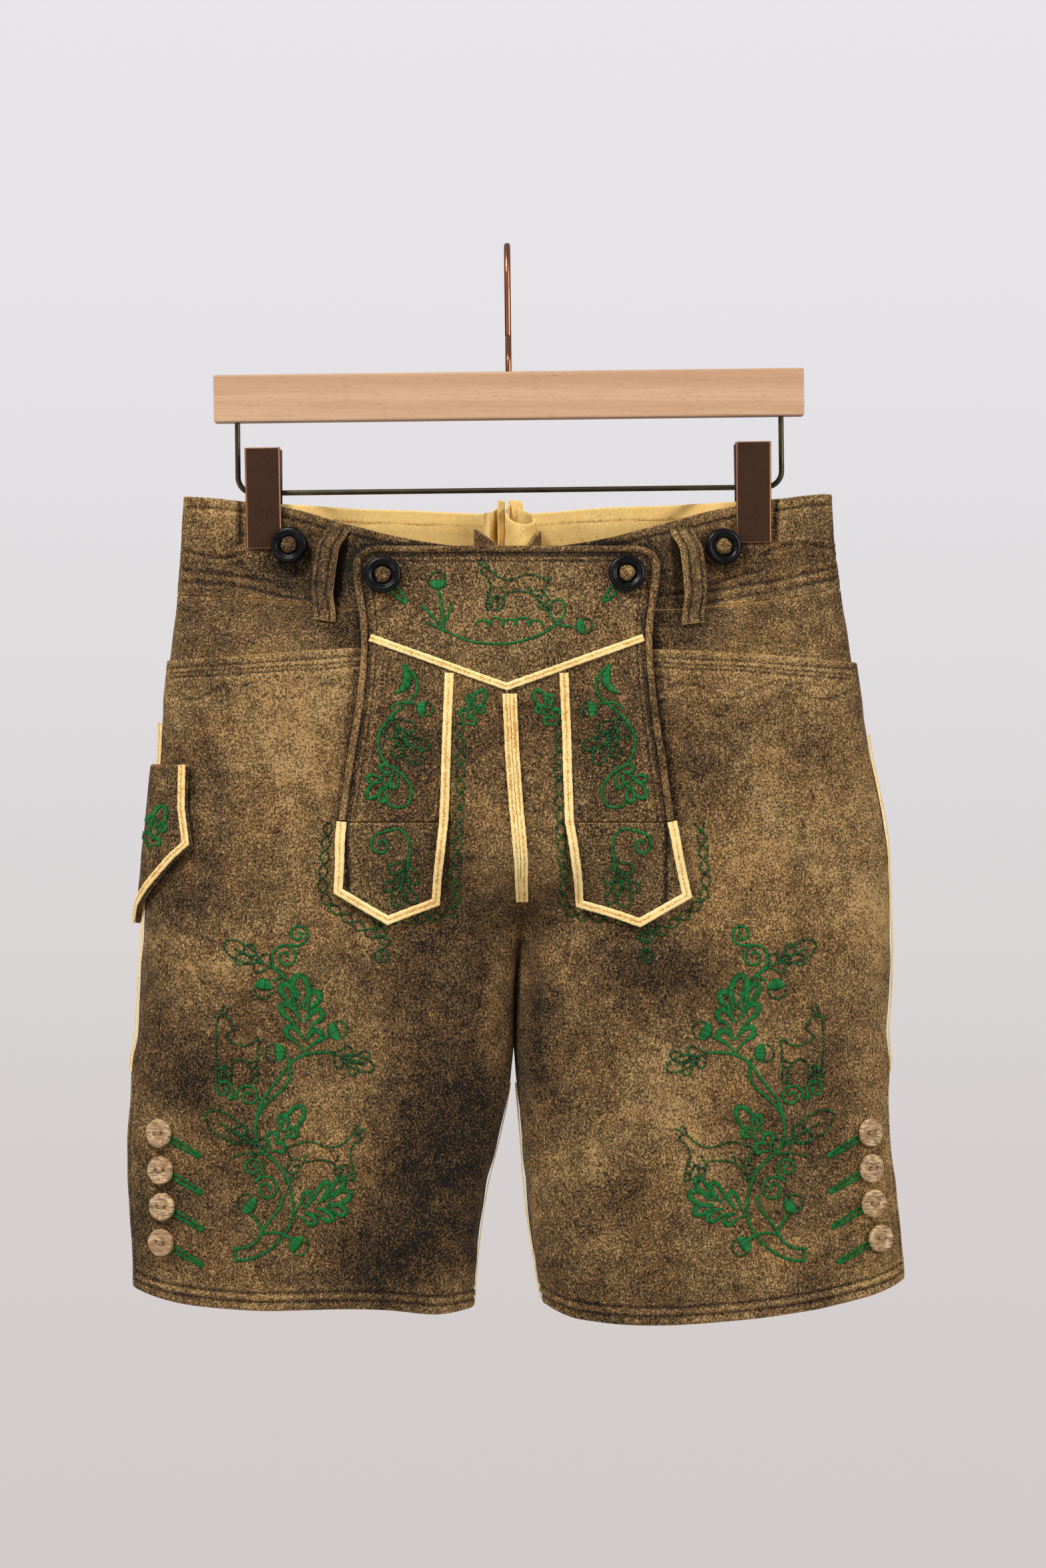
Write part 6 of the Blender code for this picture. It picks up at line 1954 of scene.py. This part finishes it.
LEAPING_GOAT = [
    [(1, 24.4), (7, 26.8), (13, 28.6), (19, 28.4), (25, 26), (31, 24.8), (37.4, 26.4), (42.4, 30.4),
     (46.4, 34), (50.4, 32.2), (51.4, 29.6), (46.8, 27.6), (44.4, 23.6), (43.4, 18.6), (46, 11),
     (47, 3.4), (44.2, 2.6),
     (42.6, 9), (39.4, 14), (37.6, 8.6), (39, 3.2), (36.2, 2.4), (33.4, 8.4), (33, 14.4), (24.6, 16.4),
     (17, 15.6), (12, 14.6), (9, 10), (5.4, 7.4), (1.6, 9), (1, 12), (4.8, 14.6), (3.2, 19), (1, 24.4)],
    [(45.6, 33.8), (46.6, 37.4), (49.6, 39.6)], [(48.4, 33.4), (51, 36.6), (54, 37)],
    [(1, 24.4), (-1.6, 27)],
    [(8, 9.4), (3, 4.4), (-0.6, 3.6), (2, 1.6), (9.6, 6)], [(5.4, 12), (9.6, 13.4)], [(4.6, 17), (11, 17)],
    [(42.6, 12), (46, 13)], [(36.6, 6), (38.6, 7.4)], [(34, 11), (38, 12)], [(43, 7), (46.6, 8)],
    [(33.8, 15), (36, 20)], [(13, 16), (15, 20)],
]


def draw_goat(cloth, table, origin, scale, mirror=False):
    for line in table:
        points = np.array(line, float) * (-scale if mirror else scale, scale) + origin
        cloth.dots(catmull(points, 3) if len(line) > 2 else points, 2.4, 1.95)


LEG_STEMS = [
    [(-145, -550), (-151, -558), (-158, -567), (-164, -576), (-167, -586)],
    [(-145, -550), (-144, -558), (-149, -566), (-158, -574), (-165, -583), (-167.5, -594), (-164, -606),
     (-157.5, -612), (-149, -621), (-144, -633), (-142.5, -646), (-145, -658), (-152, -668),
     (-162, -676), (-172, -680), (-180, -681)],
    [(-149, -637), (-151, -645), (-157, -653), (-163, -661), (-166, -667), (-173, -672), (-181, -673)],
    [(-181.4, -672.4), (-180.4, -681.6)],
    [(-163, -661), (-165.4, -656), (-170, -650)],
    [(-163, -663), (-154, -662), (-146, -665), (-142, -668)],
    [(-145, -550), (-139, -545), (-129, -542), (-117, -541.6)],
    [(-136, -544), (-129, -536), (-119, -531)],
    [(-144, -550), (-146, -545.4)],
    [(-138, -503), (-142, -496), (-148, -491), (-156, -485)],
    [(-149, -491), (-155, -494)],
]


def leg_motif(cloth):
    """Oak twigs, acorns, curls and two goats, on the front of a leg."""
    for stem in LEG_STEMS:
        cloth.rope(stem)
    cloth.filled_leaf((-134, -542), (-138, -490), 34)
    cloth.dotted_leaf((-156.5, -485), (-189, -469), 25)
    cloth.dotted_leaf((-116, -542), (-88.5, -553), 25)
    cloth.spiral((-139, -463), 7.4, 265, 1.45, 1, tail=[(-145, -470)])
    cloth.spiral((-147, -478), 9.2, 200, 1.5, -1, tail=[(-149, -490), (-155, -484)])
    cloth.acorn((-162, -499), 6.4, 262)
    cloth.acorn((-113, -527), 6.4, 25)
    cloth.acorn((-153.5, -542), 6.4, 182)
    draw_goat(cloth, STANDING_GOAT, (-194, -562), 0.98)
    cloth.spiral((-189, -567), 7.0, 300, 1.35, 1, tail=[(-180, -571)])
    cloth.spiral((-172, -571), 8.2, 190, 1.45, -1, tail=[(-181, -573)])
    cloth.rope([(-163.6, -572), (-163, -577), (-166, -582)], 2.1)
    cloth.dotted_leaf((-160, -608), (-201, -583), 27)
    cloth.dots(catmull([(-162, -610), (-172, -609), (-184, -612)], 4))
    cloth.filled_leaf((-158, -608), (-136, -578), 24, 2)
    draw_goat(cloth, LEAPING_GOAT, (-148, -630), 1.0)
    cloth.spiral((-169.5, -619), 7.2, 310, 1.4, 1, tail=[(-167, -628)])
    cloth.spiral((-160, -633), 9.0, 150, 1.5, -1, tail=[(-167, -627)])
    cloth.filled_leaf((-142, -650), (-104, -636), 30)
    cloth.acorn((-173, -643), 6.4, 140)
    cloth.acorn((-139, -671), 6.4, 325)


def yoke_motif(cloth):
    draw_goat(cloth, LEAPING_GOAT, (28.5, -250), 0.9, mirror=True)
    for x, height in ((-16, 3.0), (-7, 4.4), (2, 3.4), (10, 4.6), (19, 3.0)):
        line = [(x - 5, -258), (x - 2.6, -258 + height), (x + 2.6, -258 + height), (x + 5, -258)]
        cloth.rope(line, 1.7)
    cloth.rope([(-53, -256), (-38, -263), (-22, -269), (0, -270), (20, -265), (33, -257), (38.5, -249),
                (36.5, -241.5), (30, -242.5), (29, -250), (35, -257.5), (44, -259)], 1.8)
    cloth.rope([(-42, -262), (-43, -246), (-45.6, -233)], 2.2)
    cloth.rope([(-43, -259), (-38, -250), (-36.5, -244)], 1.9)
    cloth.rope([(-43, -259), (-50, -251), (-56, -245)], 2.2)
    cloth.acorn((-46, -228.5), 5.8, 95)
    cloth.acorn((51, -258.5), 5.4, 15)
    cloth.buttonhole(np.array([-71.5, -237.5]), -48, 11.0, 4.4)
    cloth.buttonhole(np.array([69.0, -236.5]), -132, 11.0, 4.4)


def strip_motif(cloth):
    """Down the strip: crescent, acorn, leaves and a winding vine."""
    cloth.finger((-74, -303), (-69, -284), 7.0)
    cloth.rope([(-68, -284), (-60.5, -292), (-60, -303), (-68, -311), (-78, -320), (-85, -333), (-81, -348),
                (-70, -356), (-63, -366), (-66, -377), (-76, -378), (-80, -371)], 2.2)
    cloth.acorn((-54.5, -313.5), 5.2, -5)
    cloth.rope([(-61, -310), (-70, -309), (-77, -313)], 1.8)
    cloth.dotted_leaf((-76, -319), (-58, -350), 32)
    cloth.filled_leaf((-72, -352), (-92, -372), 24, 2)


def shield_motif(cloth):
    cloth.spiral((-83, -403), 7.6, 90, 1.2, 1, tail=[(-66, -419), (-64, -402), (-71, -393)])
    cloth.dotted_leaf((-66, -412), (-74, -445), 31)
    cloth.rope([(-66, -418), (-65, -410)], 1.7)


def centre_motif(cloth, tip):
    """Beside the centre seam: a leaf, and a chain that runs down and round the shield."""
    cloth.filled_leaf((-29, -324), (-15, -301), 19, 2)
    line = [(-31.5, -322), (-30.5, -350), (-31.5, -388), (-34, -420), (-38.5, -449)]
    line += [(tip - 6, -455), (tip, -467.5), (tip - 26, -453), (tip - 42.5, -437), (tip - 42, -412),
             (tip - 39.5, -388)]
    cloth.chain(densify(catmull(line, 6), 2.0))
    for lean in (-5, 0, 5):
        cloth.dots(catmull([(tip - 4, -472), (tip - 4 + lean, -477), (tip - 4 + lean * 0.4, -482)], 4), 1.8)


BUTTONHOLE_OUT, BUTTONHOLE_TURN = 18.0, {"r": -29, "l": -151}


def embroidery(tree):
    needle = Needle(), Needle()
    # The left side's designs are the right's, mirrored about half of these.
    mirrors = {"r": (None,) * 4, "l": (17.5, 4.0, 0.0, 6.0)}
    for side, (leg, centre, strip, patch) in mirrors.items():
        front, tip = SKINS[f"leg_front_{side}"], SHIELDS[side][2][0]
        leg_motif(Cloth(front, needle, side, leg))
        centre_motif(Cloth(front, needle, side, centre), tip if centre is None else centre - tip)
        strip_motif(Cloth(SKINS[f"flap_strip_{side}"], needle, None, strip))
        shield_motif(Cloth(SKINS[f"shield_{side}"], needle, None, patch))
        plain = Cloth(front, needle, side)
        for x, z in ANTLER_BUTTONS[side]:
            angle = BUTTONHOLE_TURN[side]
            plain.buttonhole((x, z) + BUTTONHOLE_OUT * compass(angle)[0], angle)
    yoke_motif(Cloth(SKINS["flap_yoke"], needle))
    knife = Cloth(SKINS["knife_pocket"], needle, "r")
    knife.filled_leaf((-237.5, -406), (-228, -378), 19, 2)
    ride(needle[0].make("embroidery", tree, MATERIALS["green_silk"]), "trim_suede")
    ride(needle[1].make("running_stitches", tree, MATERIALS["painted_shade_silk"]), "trim_suede")


SEAM_STITCH, LINING_STITCH = (0.7, 0.5, 0.3), (0.6, 0.5, 0.25)  # width, height, gap
LOOP_PITCH, LINING_PITCH, LINING_ROW = 2.8, 2.6, 9.5


def topstitching(tree, look):
    """Dark stitches in every groove, and yellow ones on the lining."""
    dark, pale = Needle(), Needle()
    for skin in SKINS.values():
        for seam in skin.seams:
            line = seam.line
            if skin.place is on_front:
                # The flap's rows cross both the yoke and the strips: each keeps its own part.
                line = even(line, 1.0)
                on_yoke = line[:, 1] > yoke_edge(line[:, 0]) + 1.2
                on_strip = ~on_yoke & ((line[:, 0] > 0) == (skin is SKINS["flap_strip_l"]))
                line = line[on_yoke if skin is SKINS["flap_yoke"] else on_strip]
            dark.run(skin, line, look.stitch_pitch / MM, *SEAM_STITCH)
    for skin, line in SEAMS:
        dark.run(skin, line, LOOP_PITCH, *SEAM_STITCH)
    for side in SIGN:
        xs = SIGN[side] * np.linspace(200, 14, 80)
        heights = edge("waist_back", xs) - LINING_ROW
        line = np.stack([FORM[side].arc_at(xs, heights, back=True), heights], axis=1)
        pale.run(SKINS[f"waist_lining_{side}"], line, LINING_PITCH, *LINING_STITCH, above=-0.1)
    ride(dark.make("topstitching", tree, MATERIALS["seam_thread"]), "leg_leather")
    ride(pale.make("lining_stitches", tree, MATERIALS["yellow_thread"]), "trim_suede")


# ==== the stage


FLOOR_Z, FLOOR_RADIUS = -1.62, 3.0  # metres


def floor():
    """A plain pale floor, well below the breeches."""
    bm = bmesh.new()
    bmesh.ops.create_circle(bm, cap_ends=True, segments=64, radius=FLOOR_RADIUS)
    bmesh.ops.translate(bm, verts=bm.verts, vec=(0, 0, FLOOR_Z))
    new_object("floor", from_bmesh("floor", bm), MATERIALS["floor"])


def pale_room(strength):
    """Soft light from all round, and a pale wall to look at, cooler above and warmer below."""
    world = bpy.data.worlds.new("studio")
    bpy.context.scene.world = world
    world.use_nodes = True
    n = Nodes(world.node_tree)
    split = n.add("ShaderNodeSeparateXYZ")
    n.feed(split.inputs[0], n.add("ShaderNodeTexCoord").outputs["Generated"])
    wall = n.mix(n.span(split.outputs["Z"], -0.24, 0.24), srgb(209, 203, 201), srgb(232, 230, 234))
    seen = n.add("ShaderNodeLightPath").outputs["Is Camera Ray"]
    room = n.mix(n.span(split.outputs["Z"], -0.6, 0.9), (0.3, 0.28, 0.26), (1.0, 1.0, 1.02))
    background = world.node_tree.nodes["Background"].inputs
    n.feed(background["Color"], n.mix(seen, room, wall))
    unseen = n.math("MULTIPLY", n.math("SUBTRACT", 1.0, seen), strength)
    n.feed(background["Strength"], n.math("ADD", seen, unseen))


def area_light(name, place, target, size, power):
    light = bpy.data.lights.new(name, "AREA")
    light.shape, light.size, light.size_y = "RECTANGLE", *size
    light.energy = power
    obj = bpy.data.objects.new(name, light)
    obj.location = place
    obj.rotation_euler = (Vector(target) - Vector(place)).to_track_quat("-Z", "Y").to_euler()
    bpy.context.scene.collection.objects.link(obj)


def stage(look):
    floor()
    pale_room(0.33 * look.light)
    centre = (0.0, 0.0, -0.45)
    area_light("key_softbox", (-1.0, -1.35, 1.35), centre, (0.6, 0.6), 47 * look.light)
    area_light("side_softbox", (1.8, -1.3, 0.3), centre, (0.8, 1.2), 27 * look.light)
    area_light("low_softbox", (-1.9, -1.3, -0.7), centre, (0.9, 0.9), 8 * look.light)
    bpy.context.scene.view_settings.view_transform = "Standard"
    camera = bpy.data.cameras.new("camera")
    camera.lens, camera.sensor_fit, camera.sensor_height = 78.26, "AUTO", 36.0
    obj = bpy.data.objects.new("camera", camera)
    obj.location, obj.rotation_euler = (0.0108, -2.315, -0.363), (math.radians(90), 0, 0)
    bpy.context.scene.collection.objects.link(obj)
    bpy.context.scene.camera = obj


# ==== the add-on


def colour(name, description, value):
    return FloatVectorProperty(
        name=name, description=description, subtype="COLOR", size=3, min=0, max=1, default=value
    )


class BreechesLook(bpy.types.PropertyGroup):
    # The light and dark colours also show the painted light and shade that the shade attribute carries,
    # besides rubbed nap, grooves and specks.
    leg_light: colour("Rubbed leather", "Colour of the leather where its nap is rubbed", srgb(184, 148, 96))
    leg_middle: colour("Leather", "Middle colour of the leather", srgb(98, 74, 43))
    leg_dark: colour("Dark leather", "Colour of the leather in grooves and specks", srgb(18, 11, 5))
    silk: colour("Silk", "Colour of the embroidery", srgb(4, 132, 54))
    stitch_pitch: FloatProperty(
        name="Stitch length", description="From one seam stitch to the next", default=0.0032,
        min=0.001, max=0.01, unit="LENGTH", subtype="DISTANCE",
    )
    light: FloatProperty(name="Light", description="Strength of the studio light", default=1, min=0, max=10)


class BREECHES_OT_materials(bpy.types.Operator):
    """Make the leathers, threads, horn, wood and metals"""

    bl_idname, bl_label = "breeches.materials", "Materials"

    def execute(self, context):
        make_materials(context.scene.breeches)
        return {"FINISHED"}


class BREECHES_OT_legs(bpy.types.Operator):
    """Make the fronts and backs of both legs"""

    bl_idname, bl_label = "breeches.legs", "Legs"

    def execute(self, context):
        for side in SIGN:
            leg_front(side)
            leg_back(side)
        return {"FINISHED"}


class BREECHES_OT_waist(bpy.types.Operator):
    """Make the waistband, the hip facings, the belt loops and the gusset"""

    bl_idname, bl_label = "breeches.waist", "Waist"

    def execute(self, context):
        for side in SIGN:
            waistband_front(side)
            waistband_back(side)
            hip_facing(side)
        for row in FRONT_LOOPS:
            belt_loop(*row)
        gusset()
        return {"FINISHED"}


class BREECHES_OT_drop_front(bpy.types.Operator):
    """Make the drop front: yoke, strips, shields and rolled edge"""

    bl_idname, bl_label = "breeches.drop_front", "Drop front"

    def execute(self, context):
        flap_yoke()
        flap_binding()
        for side in SIGN:
            flap_strip(side)
            shield(side)
        return {"FINISHED"}


class BREECHES_OT_trims(bpy.types.Operator):
    """Make the knife pocket and the pale suede trims"""

    bl_idname, bl_label = "breeches.trims", "Trims and knife pocket"

    def execute(self, context):
        knife_pocket()
        yoke_trim()
        for side in SIGN:
            shield_trim(side)
            centre_trim(side)
            side_trim(side)
            inseam_trim(side)
        return {"FINISHED"}


class BREECHES_OT_buttons(bpy.types.Operator):
    """Make the horn rings with their knots, and the antler buttons"""

    bl_idname, bl_label = "breeches.buttons", "Buttons"

    def execute(self, context):
        ring_buttons()
        antler_buttons()
        return {"FINISHED"}


class BREECHES_OT_stitches(bpy.types.Operator):
    """Sew the seams and the embroidery"""

    bl_idname, bl_label = "breeches.stitches", "Stitches"

    def execute(self, context):
        tree = stitch_tree()
        topstitching(tree, context.scene.breeches)
        embroidery(tree)
        return {"FINISHED"}


class BREECHES_OT_hanger(bpy.types.Operator):
    """Make the hanger: bar, hook, rail and clips"""

    bl_idname, bl_label = "breeches.hanger", "Hanger"

    def execute(self, context):
        bar = FRAME["nodes"]["hanger_bar"]
        for slot in bar.material_slots:
            slot.material = MATERIALS["beech"]
        hanger_wires()
        for side in SIGN:
            clip_jaw(side, -1)
            clip_jaw(side, 1)
            clip_spring(side)
        return {"FINISHED"}


class BREECHES_OT_stage(bpy.types.Operator):
    """Make the floor, the pale room, the lights and the camera"""

    bl_idname, bl_label = "breeches.stage", "Stage"

    def execute(self, context):
        stage(context.scene.breeches)
        return {"FINISHED"}


OPERATORS = (
    BREECHES_OT_materials, BREECHES_OT_legs, BREECHES_OT_waist, BREECHES_OT_drop_front, BREECHES_OT_trims,
    BREECHES_OT_buttons, BREECHES_OT_stitches, BREECHES_OT_hanger, BREECHES_OT_stage,
)


class BREECHES_PT_panel(bpy.types.Panel):
    """Lists the sizes and colours, and the steps in order"""

    bl_idname, bl_label = "BREECHES_PT_panel", "Leather Breeches"
    bl_space_type, bl_region_type, bl_category = "VIEW_3D", "UI", "Breeches"

    def draw(self, context):
        look = context.scene.breeches
        for key in ("leg_light", "leg_middle", "leg_dark", "silk", "stitch_pitch", "light"):
            self.layout.prop(look, key)
        for operator in OPERATORS:
            self.layout.operator(operator.bl_idname)


CLASSES = (BreechesLook, *OPERATORS, BREECHES_PT_panel)


def register():
    for cls in CLASSES:
        bpy.utils.register_class(cls)
    bpy.types.Scene.breeches = PointerProperty(type=BreechesLook)


def unregister():
    del bpy.types.Scene.breeches
    for cls in reversed(CLASSES):
        bpy.utils.unregister_class(cls)


def main():
    register()
    for operator in OPERATORS:
        kind, name = operator.bl_idname.split(".")
        getattr(getattr(bpy.ops, kind), name)()


if __name__ == "__main__":
    main()
